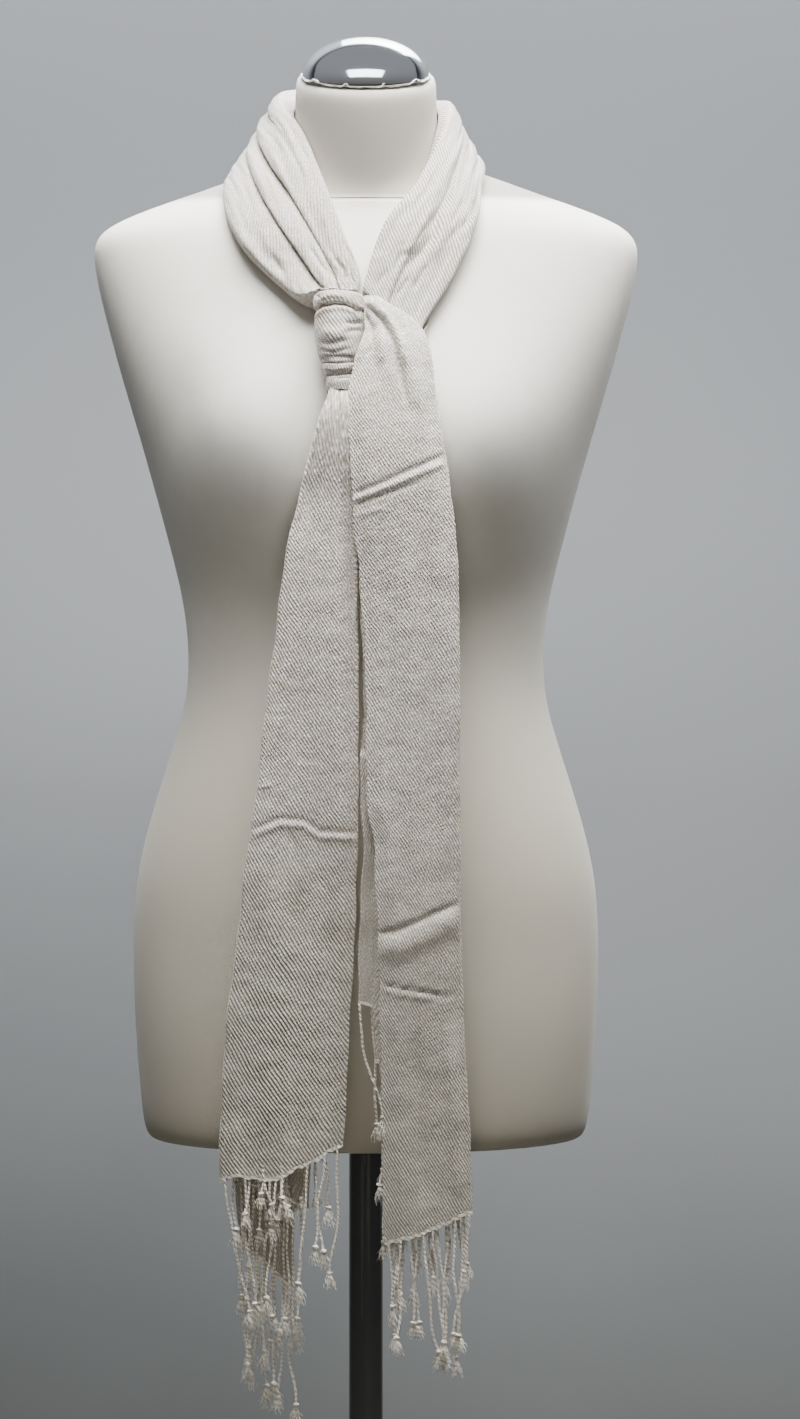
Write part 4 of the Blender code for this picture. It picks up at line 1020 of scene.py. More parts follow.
def cut_edge(context):
    """The cover's raw edge, gathered under the dome's rim."""
    bm = bmesh.new()
    turn = Matrix.Rotation(NECK_TILT, 3, "X")
    rings = []
    for i in range(CUT_EDGE_POINTS):
        angle = 2 * math.pi * i / CUT_EDGE_POINTS
        inner = CAP_RADIUS - CUT_EDGE_HIDDEN
        outer = CAP_RADIUS + CUT_EDGE_WIDTH * (0.34 + 0.16 * waves(RAGGED_WAVES, angle))
        flap = max(0.0, math.sin(15 * angle + 2 * math.sin(4 * angle))) ** 3
        flap *= smooth_step(0.1, 0.5, abs(math.sin(angle)))
        ring = []
        for radius, rise in ((inner, 0.0002), (CAP_RADIUS - 0.001, 0.0004),
                             (outer, 0.0002 + 0.0030 * flap)):
            ring.append(bm.verts.new(NECK_TOP + turn @ Vector((math.cos(angle) * radius,
                                                               math.sin(angle) * radius * 0.97, rise))))
        rings.append(ring)
    for i, ring in enumerate(rings):
        after = rings[(i + 1) % len(rings)]
        for k in range(2):
            bm.faces.new((ring[k], ring[k + 1], after[k + 1], after[k]))
    return walled(context, "jersey_cut_edge", bm, CUT_EDGE_WALL, SKIN_CORNER)


def dome(context):
    """The chrome cap: a low dome with a rolled rim and a plain underside."""
    profile = [(0.0, CAP_HEIGHT)]
    profile += [(CAP_RADIUS * math.sin(a), CAP_HEIGHT * math.cos(a))
                for a in (math.radians(86.0) * i / DOME_STEPS for i in range(1, DOME_STEPS + 1))]
    profile += [(CAP_RADIUS - inset, level) for inset, level in DOME_RIM] + [(0.0, DOME_RIM[-1][1])]
    place = Matrix.Translation(NECK_TOP) @ Matrix.Rotation(NECK_TILT, 4, "X") @ Matrix.Translation((0, 0, SEAM))
    return turned(context, "chrome_dome", profile, 96, place)


def rounded(profile, radius, steps=4):
    """A profile with each inner corner rounded off."""
    points = [profile[0]]
    for before, corner, after in zip(profile, profile[1:], profile[2:]):
        a, c, b = Vector(before), Vector(corner), Vector(after)
        reach = min(radius, (a - c).length / 2, (b - c).length / 2)
        start, end = c + (a - c).normalized() * reach, c + (b - c).normalized() * reach
        for i in range(steps + 1):
            t = i / steps
            point = start * (1 - t) ** 2 + c * 2 * t * (1 - t) + end * t ** 2
            points.append((point.x, point.y))
    points.append(profile[-1])
    return points


def pole(context):
    top, foot = BODY_UNDERSIDE - SEAM, SOCKET_FLOOR + SEAM
    profile = [(0, top), (FLANGE_RADIUS, top), (FLANGE_RADIUS, top - FLANGE_THICKNESS),
               (POLE_RADIUS, top - FLANGE_THICKNESS), (POLE_RADIUS, foot), (0, foot)]
    return turned(context, "chrome_pole", rounded(profile, 0.0009), 72)


def foot_plate(context):
    edge = 0.003
    socket = POLE_RADIUS + 0.0004
    profile = [(0, SOCKET_FLOOR), (socket, SOCKET_FLOOR), (socket, BOSS_HEIGHT),
               (BOSS_RADIUS, BOSS_HEIGHT), (BOSS_RADIUS, BASE_THICKNESS + 0.010),
               (BOSS_RADIUS + 0.010, BASE_THICKNESS + 0.002), (BASE_RADIUS - 0.012, BASE_THICKNESS),
               (BASE_RADIUS, BASE_THICKNESS - edge / 2), (BASE_RADIUS, 0), (0, 0)]
    return turned(context, "foot_plate", rounded(profile, edge), 128)


# ---------------------------------------------------------------- shader building
class Graph:
    """Adds and links shader nodes in one tree."""

    def __init__(self, tree):
        self.tree = tree

    def feed(self, socket, value):
        """Link another socket to this one, or set it to a plain value."""
        if isinstance(value, bpy.types.NodeSocket):
            self.tree.links.new(value, socket)
        else:
            socket.default_value = value

    def add(self, kind, inputs=None, **settings):
        node = self.tree.nodes.new("ShaderNode" + kind)
        for key, value in settings.items():
            setattr(node, key, value)
        for key, value in (inputs or {}).items():
            self.feed(node.inputs[key], value)
        return node

    def shared(self, tree, **inputs):
        """The outputs of a shared effect."""
        return self.add("Group", inputs, node_tree=tree).outputs

    def math(self, operation, *values, clamp=False):
        return self.add("Math", dict(enumerate(values)), operation=operation, use_clamp=clamp).outputs[0]

    def times(self, first, second):
        return self.math("MULTIPLY", first, second)

    def times_plus(self, first, second, third, clamp=False):
        return self.math("MULTIPLY_ADD", first, second, third, clamp=clamp)

    def swing(self, turns):
        """A wave between 0 and 1 with one rise and fall a turn."""
        return self.times_plus(self.math("SINE", self.times(turns, 2 * math.pi)), 0.5, 0.5)

    def map(self, value, low, high, to_low=0.0, to_high=1.0):
        return self.add("MapRange", {0: value, 1: low, 2: high, 3: to_low, 4: to_high},
                        interpolation_type="SMOOTHSTEP").outputs[0]

    def noise(self, vector, scale, detail=3.0, roughness=0.55):
        return self.add("TexNoise", {"Vector": vector, "Scale": scale, "Detail": detail,
                                     "Roughness": roughness}).outputs["Fac"]

    def split(self, vector):
        return self.add("SeparateXYZ", {0: vector}).outputs

    def stretch(self, vector, scales):
        return self.add("Mapping", {0: vector, 3: scales}).outputs[0]

    def mix(self, share, first, second):
        # the sockets of the mix node's colour mode
        return self.add("Mix", {0: share, 6: first, 7: second}, data_type="RGBA").outputs[2]

    def bump(self, height, distance, strength=1.0, before=None):
        inputs = {"Height": height, "Distance": distance, "Strength": strength}
        if before is not None:
            inputs["Normal"] = before
        return self.add("Bump", inputs).outputs[0]


class Surface(Graph):
    """A material with one shader, and the place in space that its effects start from."""

    def __init__(self, name):
        self.material = bpy.data.materials.new(name)
        self.material.use_nodes = True
        super().__init__(self.material.node_tree)
        self.tree.nodes.clear()
        self.shader = self.add("BsdfPrincipled")
        self.output = self.add("OutputMaterial", {"Surface": self.shader.outputs[0]})
        self.place = self.add("TexCoord").outputs["Object"]

    def mottle(self, slow, fine):
        return self.shared(mottle_group(), Vector=self.place, Slow=slow, Fine=fine)[0]

    def finish(self, **values):
        """Feed named inputs of the shader; an underscore stands for a space."""
        for key, value in values.items():
            self.feed(self.shader.inputs[key.replace("_", " ")], value)
        return self.material


def group(name, inputs, outputs, build):
    """A shared shader effect: its inputs with their defaults (None for a vector) and its outputs."""
    if name in bpy.data.node_groups:
        return bpy.data.node_groups[name]
    tree = bpy.data.node_groups.new(name, "ShaderNodeTree")
    for label, value in inputs.items():
        kind = "NodeSocketVector" if value is None else "NodeSocketFloat"
        socket = tree.interface.new_socket(name=label, in_out="INPUT", socket_type=kind)
        if value is not None:
            socket.default_value = value
    for label in outputs:
        tree.interface.new_socket(name=label, in_out="OUTPUT", socket_type="NodeSocketFloat")
    results = build(Graph(tree), tree.nodes.new("NodeGroupInput").outputs)
    target = tree.nodes.new("NodeGroupOutput")
    for label, value in results.items():
        tree.links.new(value, target.inputs[label])
    return tree


def twill_group():
    """Diagonal ribs with the small steps of the crossing yarns, a little uneven."""
    def build(graph, inputs):
        vector, pitch = inputs["Vector"], inputs["Pitch"]
        across, along, _ = graph.split(vector)
        slant = graph.times_plus(along, inputs["Slope"], across)
        drift = graph.noise(vector, 38.0, 2.0)
        turns = graph.times_plus(drift, inputs["Unevenness"], graph.math("DIVIDE", slant, pitch))
        rib = graph.swing(turns)
        crossing = graph.math("DIVIDE", along, graph.times(pitch, 0.60))
        step = graph.swing(graph.math("SUBTRACT", crossing, graph.times(turns, 0.5)))
        slub = graph.noise(graph.stretch(vector, (900.0, 40.0, 1.0)), 1.0, 2.0)
        glint = graph.noise(vector, 590.0, 2.0, 0.7)
        height = graph.times_plus(step, 0.16, graph.times(rib, 0.74))
        height = graph.times_plus(slub, 0.20, height)
        return {"Height": graph.times_plus(glint, 0.55, height), "Rib": rib, "Slub": slub, "Glint": glint}
    return group("twill_weave", {"Vector": None, "Pitch": 0.002, "Slope": 1.0, "Unevenness": 1.3},
                 ("Height", "Rib", "Slub", "Glint"), build)


def mottle_group():
    """Slow and fine unevenness of tone."""
    def build(graph, inputs):
        slow = graph.noise(inputs["Vector"], inputs["Slow"], 2.0)
        fine = graph.noise(inputs["Vector"], inputs["Fine"], 4.0)
        return {"Value": graph.times_plus(fine, 0.35, graph.times(slow, 0.65))}
    return group("soft_mottle", {"Vector": None, "Slow": 6.0, "Fine": 90.0}, ("Value",), build)


def jersey_group():
    """Fine knit columns with the small loops that cross them."""
    def build(graph, inputs):
        side, depth, level = graph.split(inputs["Vector"])
        ring = graph.math("ARCTAN2", side, graph.times(depth, 1.25))
        wale = graph.math("SINE", graph.times(ring, inputs["Wales"]))
        loop = graph.math("SINE", graph.times(level, inputs["Courses"]))
        height = graph.times_plus(graph.times(wale, loop), 0.5, 0.5)
        pill = graph.noise(inputs["Vector"], 700.0, 2.0)
        return {"Height": graph.times_plus(pill, 0.6, height)}
    return group("knit_jersey", {"Vector": None, "Wales": 760.0, "Courses": 6200.0}, ("Height",), build)


def scaled(colour, factors):
    """A colour with its channels multiplied, full at most, as a tone."""
    return (*(min(c * f, 1.0) for c, f in zip(colour, factors)), 1.0)


# ---------------------------------------------------------------- materials
# painted shade: LOW_SHADE darkens the hanging ends towards their foot
LOW_SHADE = 0.58         # how much greyer the hanging ends are at their foot
RIB_SHARE = 0.42         # the ribs' part in the cloth's grain; loose glints make up the rest
TWIST_MARKS = 2 * math.pi / 0.0034     # one mark a half turn of the plies
TWIST_SLANT = 0.45       # how steeply the marks run across a strand
SEAM_LEVEL = 1.3670      # height of the seam round the neck's foot, where it crosses the middle plane
SEAM_SLOPE = -0.12       # how it climbs towards the back
# Tones: red, green, blue and alpha.
CLOTH_GAP_SHADE = (0.16, 0.14, 0.11, 1.0)
CLOTH_FOOT_SHADE = (0.28, 0.27, 0.205, 1.0)
YARN_GAP_SHADE = (0.22, 0.19, 0.14, 1.0)
JERSEY_LIGHT = (0.80, 0.775, 0.715, 1.0)
JERSEY_DIM = (0.745, 0.715, 0.635, 1.0)
JERSEY_LOW_SHADE = (0.50, 0.465, 0.385, 1.0)
JERSEY_NECK_SHADE = (0.34, 0.31, 0.27, 1.0)
JERSEY_SEAM = (0.50, 0.44, 0.36, 1.0)
PAINT_BLACK = (0.018, 0.018, 0.020, 1.0)
PAINT_DUST = (0.075, 0.072, 0.068, 1.0)
RAW_WHITE = (0.98, 0.98, 1.0, 1.0)
RAW_GREY = (0.84, 0.84, 0.84, 1.0)
# Shares of the cloth's own colour: its dim patches, and the yarn's warm and dark ones, lifted above the cloth's
# as painted light.
CLOTH_DIM = (0.86, 0.83, 0.78)
YARN_LIT_WARM = (1.24, 1.29, 1.32)
YARN_LIT_DARK = (1.02, 1.02, 0.96)
CHROME_DOME = (0.80, 0.81, 0.83)
CHROME_POLE = (0.24, 0.24, 0.23)


def cloth_material(name, settings, slope, shade_tint, gaps, ribs=RIB_SHARE):
    """Cream twill with a soft satin sheen and painted highlights; gaps is how dark the painted shade between
    the ribs is.
    """
    cloth = Surface("cream twill, " + name)
    twill = cloth.shared(twill_group(), Vector=cloth.add("UVMap", uv_map="weave").outputs[0],
                         Pitch=settings.twill_pitch * math.hypot(1.0, slope), Slope=slope)
    # painted shade: the tint darkens the whole cloth colour, most on the neck and the knot
    light = scaled(settings.cloth_colour, (shade_tint, shade_tint, shade_tint))
    shine = (shade_tint, shade_tint * 0.985, shade_tint * 0.96, 1.0)
    tone = cloth.mix(cloth.map(cloth.mottle(9.0, 160.0), 0.30, 0.70), light, scaled(light, CLOTH_DIM))
    # painted highlights on the ribs and single threads, and painted shade in the gaps between them
    glint = cloth.map(twill["Glint"], 0.40, 0.62)
    weave = cloth.times_plus(twill["Rib"], ribs, cloth.times(glint, 1.0 - ribs))
    weave = cloth.times_plus(twill["Slub"], 0.5, cloth.math("SUBTRACT", weave, 0.25), clamp=True)
    tone = cloth.mix(weave, cloth.mix(gaps, tone, CLOTH_GAP_SHADE), tone)
    tone = cloth.mix(cloth.map(weave, 0.50, 0.92, 0.0, 0.90), tone, shine)
    # painted shade: darker towards the foot of the hanging ends
    tone = cloth.mix(cloth.map(cloth.split(cloth.place)[2], 0.70, 1.16, LOW_SHADE, 0.0), tone, CLOTH_FOOT_SHADE)
    normal = cloth.bump(twill["Height"], settings.twill_depth)
    for scale, detail, depth, strength in ((150.0, 3.0, 0.0014, 0.40), (42.0, 2.0, 0.0050, 0.35)):
        normal = cloth.bump(cloth.noise(cloth.place, scale, detail), depth, strength, normal)
    return cloth.finish(Base_Color=tone, Roughness=cloth.map(weave, 0.2, 0.9, 0.62, 0.30), Normal=normal,
                        Sheen_Weight=0.25, Sheen_Roughness=0.35, Subsurface_Weight=0.12, Subsurface_Scale=0.5,
                        Subsurface_Radius=(0.004, 0.003, 0.002), Specular_IOR_Level=0.65)


def yarn_material(settings):
    """Twisted yarn: soft, matt, a little warmer than the cloth and lighter as painted light, with painted shade
    between the plies.
    """
    yarn = Surface("fringe yarn")
    # painted light: the yarn's colour is the cloth's lifted, with random warm and dark patches
    warm, dark = (scaled(settings.cloth_colour, factors) for factors in (YARN_LIT_WARM, YARN_LIT_DARK))
    tone = yarn.mix(yarn.map(yarn.mottle(60.0, 700.0), 0.35, 0.70), warm, dark)
    # painted shade in the gaps between the plies winds round each strand as short slanting marks
    side, _, height = yarn.split(yarn.place)
    turn = yarn.times_plus(height, TWIST_MARKS, yarn.times(side, TWIST_SLANT * TWIST_MARKS))
    uneven = yarn.times(yarn.noise(yarn.place, 30.0, 1.0), 40.0)
    turn = yarn.math("SINE", yarn.math("ADD", turn, uneven))
    tone = yarn.mix(yarn.map(turn, 0.05, 0.75, 0.0, 0.60), tone, YARN_GAP_SHADE)
    hair = yarn.noise(yarn.stretch(yarn.place, (2600.0, 2600.0, 420.0)), 1.0, 3.0)
    return yarn.finish(Base_Color=tone, Roughness=0.42, Normal=yarn.bump(hair, 0.0003, 0.6),
                       Sheen_Weight=0.35, Sheen_Roughness=0.4, Specular_IOR_Level=0.70)


def jersey_material():
    """Stretched ivory jersey with the neck's seam, and painted shade low down and on the neck."""
    jersey = Surface("ivory jersey")
    knit = jersey.shared(jersey_group(), Vector=jersey.place)
    side, depth, height = jersey.split(jersey.place)
    tone = jersey.mix(jersey.map(jersey.mottle(3.5, 60.0), 0.30, 0.70), JERSEY_LIGHT, JERSEY_DIM)
    # painted shade: the cover is darker towards the bottom
    tone = jersey.mix(jersey.map(height, 0.96, 1.17, 1.0, 0.0), tone, JERSEY_LOW_SHADE)
    # the seam lies on a plane that slopes down to the front, round the foot of the neck
    level = jersey.times_plus(depth, SEAM_SLOPE, height)
    off = jersey.math("ABSOLUTE", jersey.math("SUBTRACT", level, SEAM_LEVEL))
    inner = jersey.map(jersey.math("ABSOLUTE", side), 0.055, 0.060, 1.0, 0.0)
    seam = jersey.times(jersey.map(off, 0.0004, 0.0014, 1.0, 0.0), inner)
    # painted shade on the neck above the seam, less of it just under the dome
    neck = jersey.times(jersey.map(level, 1.365, 1.372), jersey.map(height, 1.430, 1.452, 1.0, 0.25))
    tone = jersey.mix(jersey.times(neck, 0.92), tone, JERSEY_NECK_SHADE)
    tone = jersey.mix(jersey.times(seam, 0.55), tone, JERSEY_SEAM)
    normal = jersey.bump(knit["Height"], 0.00012, 0.8)
    normal = jersey.bump(jersey.times(seam, -1.0), 0.0009, 1.0, normal)
    return jersey.finish(Base_Color=tone, Roughness=0.80, Normal=normal, Sheen_Weight=0.18,
                         Sheen_Roughness=0.45, Specular_IOR_Level=0.15)


def chrome_material(name, colour, roughness, mark_scale):
    """Polished chrome with faint smears and fine marks, round or drawn out lengthwise."""
    chrome = Surface(name)
    smear = chrome.map(chrome.noise(chrome.place, 45.0, 4.0), 0.35, 0.75, roughness * 0.9, roughness * 1.2)
    marks = chrome.noise(chrome.stretch(chrome.place, (900.0, 900.0, mark_scale)), 1.0, 3.0)
    return chrome.finish(Base_Color=(*colour, 1.0), Metallic=1.0,
                         Roughness=chrome.math("ADD", smear, chrome.times(marks, 0.05)),
                         Normal=chrome.bump(marks, 0.00001, 0.5))


def paint_material():
    """Satin black paint with a slight orange-peel skin."""
    paint = Surface("satin black paint")
    dust = paint.map(paint.noise(paint.place, 35.0, 5.0), 0.50, 0.80, 0.0, 0.35)
    peel = paint.bump(paint.noise(paint.place, 420.0, 2.0), 0.0003, 0.35)
    return paint.finish(Base_Color=paint.mix(dust, PAINT_BLACK, PAINT_DUST),
                        Roughness=paint.map(dust, 0.0, 0.35, 0.30, 0.55), Normal=peel)


def raw_edge_material():
    """White raw jersey, frayed."""
    raw = Surface("raw jersey edge")
    fray = raw.noise(raw.place, 1500.0, 3.0)
    return raw.finish(Base_Color=raw.mix(fray, RAW_WHITE, RAW_GREY), Roughness=0.85,
                      Normal=raw.bump(fray, 0.0005, 0.8), Sheen_Weight=0.3)


def dress(obj, material, slot, *nodes):
    """Finish a piece: its material, the nodes it stands for and its body; slot is not used."""
    obj.data.materials.clear()
    obj.data.materials.append(material)
    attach(obj, "root")
    if nodes:
        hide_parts(*nodes)


# ---------------------------------------------------------------- settings
def length_property(name, description, default):
    return FloatProperty(name=name, description=description, default=default, unit="LENGTH",
                         subtype="DISTANCE")


class ShawlClothSettings(PropertyGroup):
    thickness: length_property("Cloth thickness", "Wall of the woven cloth", 0.0009)
    twill_pitch: length_property("Twill pitch", "Spacing of the twill's ribs across the cloth", 0.0024)
    twill_depth: length_property("Twill depth", "Height of the twill's ribs", 0.0004)
    cloth_colour: FloatVectorProperty(name="Cloth colour", description="Colour of the shawl's yarn",
                                      default=(0.79, 0.715, 0.635), subtype="COLOR", min=0.0, max=1.0)


class ShawlFringeSettings(PropertyGroup):
    strand_width: length_property("Strand width", "Width of a twisted strand", 0.0020)
    waviness: length_property("Waviness", "How far a strand wanders from straight", 0.0022)


class ShawlStageSettings(PropertyGroup):
    camera_distance: length_property("Camera distance", "From the camera to the form's middle", 2.2)
    camera_height: length_property("Camera height", "Height of the camera over the floor", 1.005)
    camera_side: length_property("Camera side", "The camera's place to the side of the form's middle", 0.0243)
    lens: FloatProperty(name="Lens", description="Focal length in millimetres", default=78.2)


# ---------------------------------------------------------------- operators
class SHAWL_OT_form(Operator):
    """Build the dress form's jersey cover, its raw neck edge and the chrome dome"""
    bl_idname = "shawl.form"
    bl_label = "Dress form"

    def execute(self, context):
        dress(form_skin(context), jersey_material(), "form_jersey", "form_body")
        dress(cut_edge(context), raw_edge_material(), "form_jersey")
        chrome = chrome_material("dome chrome", CHROME_DOME, roughness=0.07, mark_scale=900.0)
        dress(dome(context), chrome, "cap_chrome", "form_cap")
        return {"FINISHED"}


class SHAWL_OT_stand(Operator):
    """Build the chrome pole and the foot plate"""
    bl_idname = "shawl.stand"
    bl_label = "Stand"

    def execute(self, context):
        chrome = chrome_material("pole chrome", CHROME_POLE, roughness=0.20, mark_scale=14.0)
        dress(pole(context), chrome, "pole_chrome", "stand_pole")
        dress(foot_plate(context), paint_material(), "base_paint", "stand_base")
        return {"FINISHED"}


class SHAWL_OT_neck(Operator):
    """Build the three stretches of the shawl that go round the neck"""
    bl_idname = "shawl.neck"
    bl_label = "Neck loop"

    def execute(self, context):
        settings = context.scene.shawl_cloth
        # both neck materials are darkened by painted shade through their tint
        lying = cloth_material("neck", settings, slope=0.55, shade_tint=0.65, gaps=0.28)
        crossing = cloth_material("neck right", settings, slope=-1.05, shade_tint=0.74, ribs=0.80, gaps=0.66)
        form = node_tree("form_body")
        for name, stretch in STRETCHES.items():
            obj, width = neck_sheet(context, name, form, settings.thickness)
            dress(obj, crossing if name.endswith("right") else lying, "shawl_twill", name)
        return {"FINISHED"}


class SHAWL_OT_knot(Operator):
    """Build the turn of cloth that holds the two ends"""
    bl_idname = "shawl.knot"
    bl_label = "Knot"

    def execute(self, context):
        settings = context.scene.shawl_cloth
        obj = knot_sheet(context, settings.thickness)
        # the knot's cloth is darkened by painted shade through its tint
        wound = cloth_material("knot", settings, slope=-0.7, shade_tint=0.62, gaps=0.30)
        dress(obj, wound, "shawl_twill", "shawl_knot")
        return {"FINISHED"}


class SHAWL_OT_tails(Operator):
    """Build the two hanging ends with their fringes"""
    bl_idname = "shawl.tails"
    bl_label = "Ends and fringes"

    def execute(self, context):
        cloth, fringe = context.scene.shawl_cloth, context.scene.shawl_fringe
        # the ends' cloth is darkened a little by painted shade through its tint
        twill = cloth_material("ends", cloth, slope=0.8, shade_tint=0.93, ribs=0.30, gaps=0.46)
        yarn = yarn_material(cloth)
        for side, tail in tails().items():
            sheet = tail_sheet(context, side, tail, cloth.thickness)
            dress(sheet, twill, "shawl_twill", "shawl_tail_" + side)
            edge = fringe_edge(context, side, tail, cloth.thickness)
            dress(edge, yarn, "shawl_twill", "fringe_" + side)
            strands = fringe_strands(context, side, tail, fringe)
            dress(strands, yarn, "fringe_yarn", "fringe_" + side)
        return {"FINISHED"}


# ---------------------------------------------------------------- stage
# Area lights: where each stands and aims, its two sides, its power, colour and spread in degrees,
# and what doesn't see it.
Lamp = namedtuple("Lamp", "place target sides power colour spread unseen_by",
                  defaults=((1.0, 1.0, 1.0), 180.0, ""))
LAMPS = {
    # soft light from above and in front, and weak fills
    "key": Lamp((0.16, -0.36, 2.46), (0.0, -0.10, 1.30), (1.3, 0.6), 52.0, spread=110.0, unseen_by="glossy"),
    "fill": Lamp((0.3, -2.6, 1.3), (0.0, 0.0, 0.92), (1.2, 1.2), 0.5, (1.0, 0.95, 0.83), 60.0, "glossy"),
    "low fill": Lamp((-0.1, -1.5, 0.35), (-0.02, 0.0, 0.64), (0.3, 0.3), 0.09, (1.0, 0.90, 0.72), 34.0,
                     "glossy"),
    "under fill": Lamp((0.0, -1.2, 0.55), (0.0, -0.10, 1.12), (0.5, 0.2), 0.14, (1.0, 0.97, 0.92), 40.0,
                       "glossy"),
    # a wash on the backdrop, a window that shows only where it is mirrored, and a light from behind
    "wall": Lamp((0.0, 0.4, 3.6), (0.0, 1.6, 1.9), (3.6, 0.6), 124.0, (0.96, 0.98, 1.0), 180.0, "glossy"),
    "window": Lamp((0.0, -2.5, 3.0), (0.0, 0.0, 1.45), (3.0, 1.5), 110.0, (0.90, 0.94, 1.0), 180.0, "diffuse"),
    "back": Lamp((0.3, 1.2, 2.7), (0.0, 0.1, 1.2), (1.2, 0.8), 7.0, (0.96, 0.98, 1.0), 70.0),
}
ROOM_STRENGTH = 0.05     # the dim room's own light
MIRRORED_ROOM = 0.50     # and how bright it shows in the chrome
ROOM_LOW = (0.24, 0.215, 0.18, 1.0)
ROOM_HIGH = (0.62, 0.65, 0.70, 1.0)
BACKDROP_SHADED_LOW = (0.052, 0.0545, 0.0495, 1.0)
BACKDROP_LIT_HIGH = (0.458, 0.475, 0.497, 1.0)
BACKDROP_AT, BACKDROP_BEND = 1.6, 0.9    # how far behind the form it stands, and the bend's radius
BACKDROP_STEPS = 16


def place_camera(context, settings):
    data = bpy.data.cameras.new("camera")
    data.lens = settings.lens
    data.sensor_width = 36.0
    camera = bpy.data.objects.new("camera", data)
    camera.location = (settings.camera_side, -settings.camera_distance, settings.camera_height)
    camera.rotation_euler = (math.radians(90.0), 0.0, 0.0)
    context.scene.collection.objects.link(camera)
    context.scene.camera = camera


def backdrop(context):
    """A floor that curves up into a backdrop."""
    bm = bmesh.new()
    turns = (math.radians(90.0) * i / BACKDROP_STEPS for i in range(BACKDROP_STEPS + 1))
    profile = [(-6.0, 0.0)]
    profile += [(BACKDROP_AT - BACKDROP_BEND + BACKDROP_BEND * math.sin(turn),
                 BACKDROP_BEND - BACKDROP_BEND * math.cos(turn)) for turn in turns]
    profile += [(BACKDROP_AT, 4.5)]
    rows = [(bm.verts.new((-6.0, y, z)), bm.verts.new((6.0, y, z))) for y, z in profile]
    for (a, b), (c, d) in zip(rows, rows[1:]):
        bm.faces.new((a, b, d, c))
    return new_object(context, "floor and backdrop", bm)


def backdrop_material():
    """Pale and matt, with painted light that makes it brighter upwards and painted shade low down, and seen
    through from behind, so that it hides nothing there.
    """
    pale = Surface("pale backdrop")
    side, _, height = pale.split(pale.place)
    # painted light and shade: darker towards the floor, brighter upwards
    uneven = pale.times_plus(pale.noise(pale.place, 1.2, 2.0), 0.25, height)
    tone = pale.mix(pale.map(uneven, 0.1, 1.5), BACKDROP_SHADED_LOW, BACKDROP_LIT_HIGH)
    # a soft shade low down on one side
    shade = pale.times(pale.map(side, -0.30, 0.25, 0.30, 0.0), pale.map(height, 0.58, 1.05, 1.0, 0.0))
    tone = pale.mix(shade, tone, (0.0, 0.0, 0.0, 1.0))
    behind = pale.add("NewGeometry").outputs["Backfacing"]
    clear = pale.add("BsdfTransparent").outputs[0]
    both = pale.add("MixShader", {0: behind, 1: pale.shader.outputs[0], 2: clear}).outputs[0]
    pale.feed(pale.output.inputs["Surface"], both)
    return pale.finish(Base_Color=tone, Roughness=0.9)


def hang_lamp(context, name, lamp):
    data = bpy.data.lights.new(name, "AREA")
    data.shape = "RECTANGLE"
    data.size, data.size_y = lamp.sides
    data.energy = lamp.power
    data.color = lamp.colour
    data.spread = math.radians(lamp.spread)
    light = bpy.data.objects.new(name, data)
    light.location = lamp.place
    light.rotation_euler = (Vector(lamp.target) - Vector(lamp.place)).to_track_quat("-Z", "Y").to_euler()
    if lamp.unseen_by:
        setattr(light, "visible_" + lamp.unseen_by, False)
    context.scene.collection.objects.link(light)


def soft_room():
    """The room's own light: dim on the pieces, brighter where it is mirrored or seen."""
    world = bpy.data.worlds.new("soft room")
    world.use_nodes = True
    graph = Graph(world.node_tree)
    height = graph.split(graph.add("TexCoord").outputs["Generated"])[2]
    path = graph.add("LightPath").outputs
    mirrored = graph.math("MAXIMUM", path["Is Glossy Ray"], path["Is Camera Ray"])
    inputs = world.node_tree.nodes["Background"].inputs
    graph.feed(inputs["Color"], graph.mix(graph.map(height, -0.6, 0.8), ROOM_LOW, ROOM_HIGH))
    graph.feed(inputs["Strength"], graph.times_plus(mirrored, MIRRORED_ROOM - ROOM_STRENGTH, ROOM_STRENGTH))
    return world


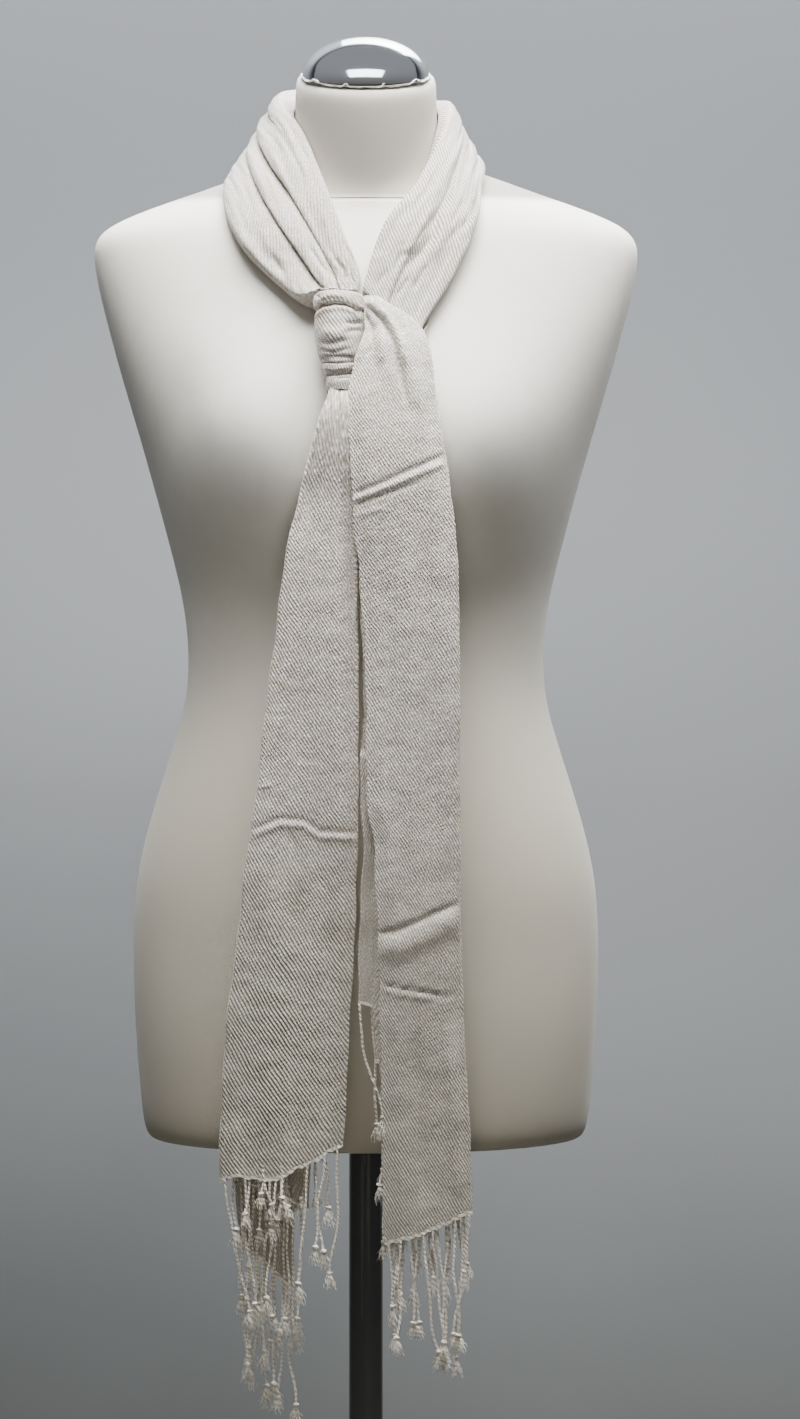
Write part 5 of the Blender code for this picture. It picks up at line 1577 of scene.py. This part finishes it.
class SHAWL_OT_stage(Operator):
    """Set the camera, the soft studio light, the floor and the backdrop"""
    bl_idname = "shawl.stage"
    bl_label = "Stage"

    def execute(self, context):
        place_camera(context, context.scene.shawl_stage)
        sweep = backdrop(context)
        sweep.data.materials.append(backdrop_material())
        for name, lamp in LAMPS.items():
            hang_lamp(context, name, lamp)
        context.scene.world = soft_room()
        return {"FINISHED"}


class SHAWL_PT_panel(Panel):
    bl_label = "Shawl"
    bl_idname = "SHAWL_PT_panel"
    bl_space_type = "VIEW_3D"
    bl_region_type = "UI"
    bl_category = "Shawl"

    def draw(self, context):
        layout = self.layout
        for label, settings, operators in (
                ("Cloth", context.scene.shawl_cloth, ("shawl.neck", "shawl.knot")),
                ("Ends", context.scene.shawl_fringe, ("shawl.tails",)),
                ("Form", None, ("shawl.form", "shawl.stand")),
                ("Stage", context.scene.shawl_stage, ("shawl.stage",))):
            box = layout.box()
            box.label(text=label)
            if settings:
                for name in settings.bl_rna.properties.keys():
                    if name not in {"rna_type", "name"}:
                        box.prop(settings, name)
            for operator in operators:
                box.operator(operator)


CLASSES = (ShawlClothSettings, ShawlFringeSettings, ShawlStageSettings, SHAWL_OT_form, SHAWL_OT_stand,
           SHAWL_OT_neck, SHAWL_OT_knot, SHAWL_OT_tails, SHAWL_OT_stage, SHAWL_PT_panel)


def register():
    for item in CLASSES:
        bpy.utils.register_class(item)
    bpy.types.Scene.shawl_cloth = PointerProperty(type=ShawlClothSettings)
    bpy.types.Scene.shawl_fringe = PointerProperty(type=ShawlFringeSettings)
    bpy.types.Scene.shawl_stage = PointerProperty(type=ShawlStageSettings)


def unregister():
    del bpy.types.Scene.shawl_stage
    del bpy.types.Scene.shawl_fringe
    del bpy.types.Scene.shawl_cloth
    for item in reversed(CLASSES):
        bpy.utils.unregister_class(item)


def main():
    register()
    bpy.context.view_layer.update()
    for step in (bpy.ops.shawl.stage, bpy.ops.shawl.form, bpy.ops.shawl.stand, bpy.ops.shawl.neck,
                 bpy.ops.shawl.knot, bpy.ops.shawl.tails):
        if step() != {"FINISHED"}:
            raise RuntimeError("a step did not finish")


if __name__ == "__main__":
    main()
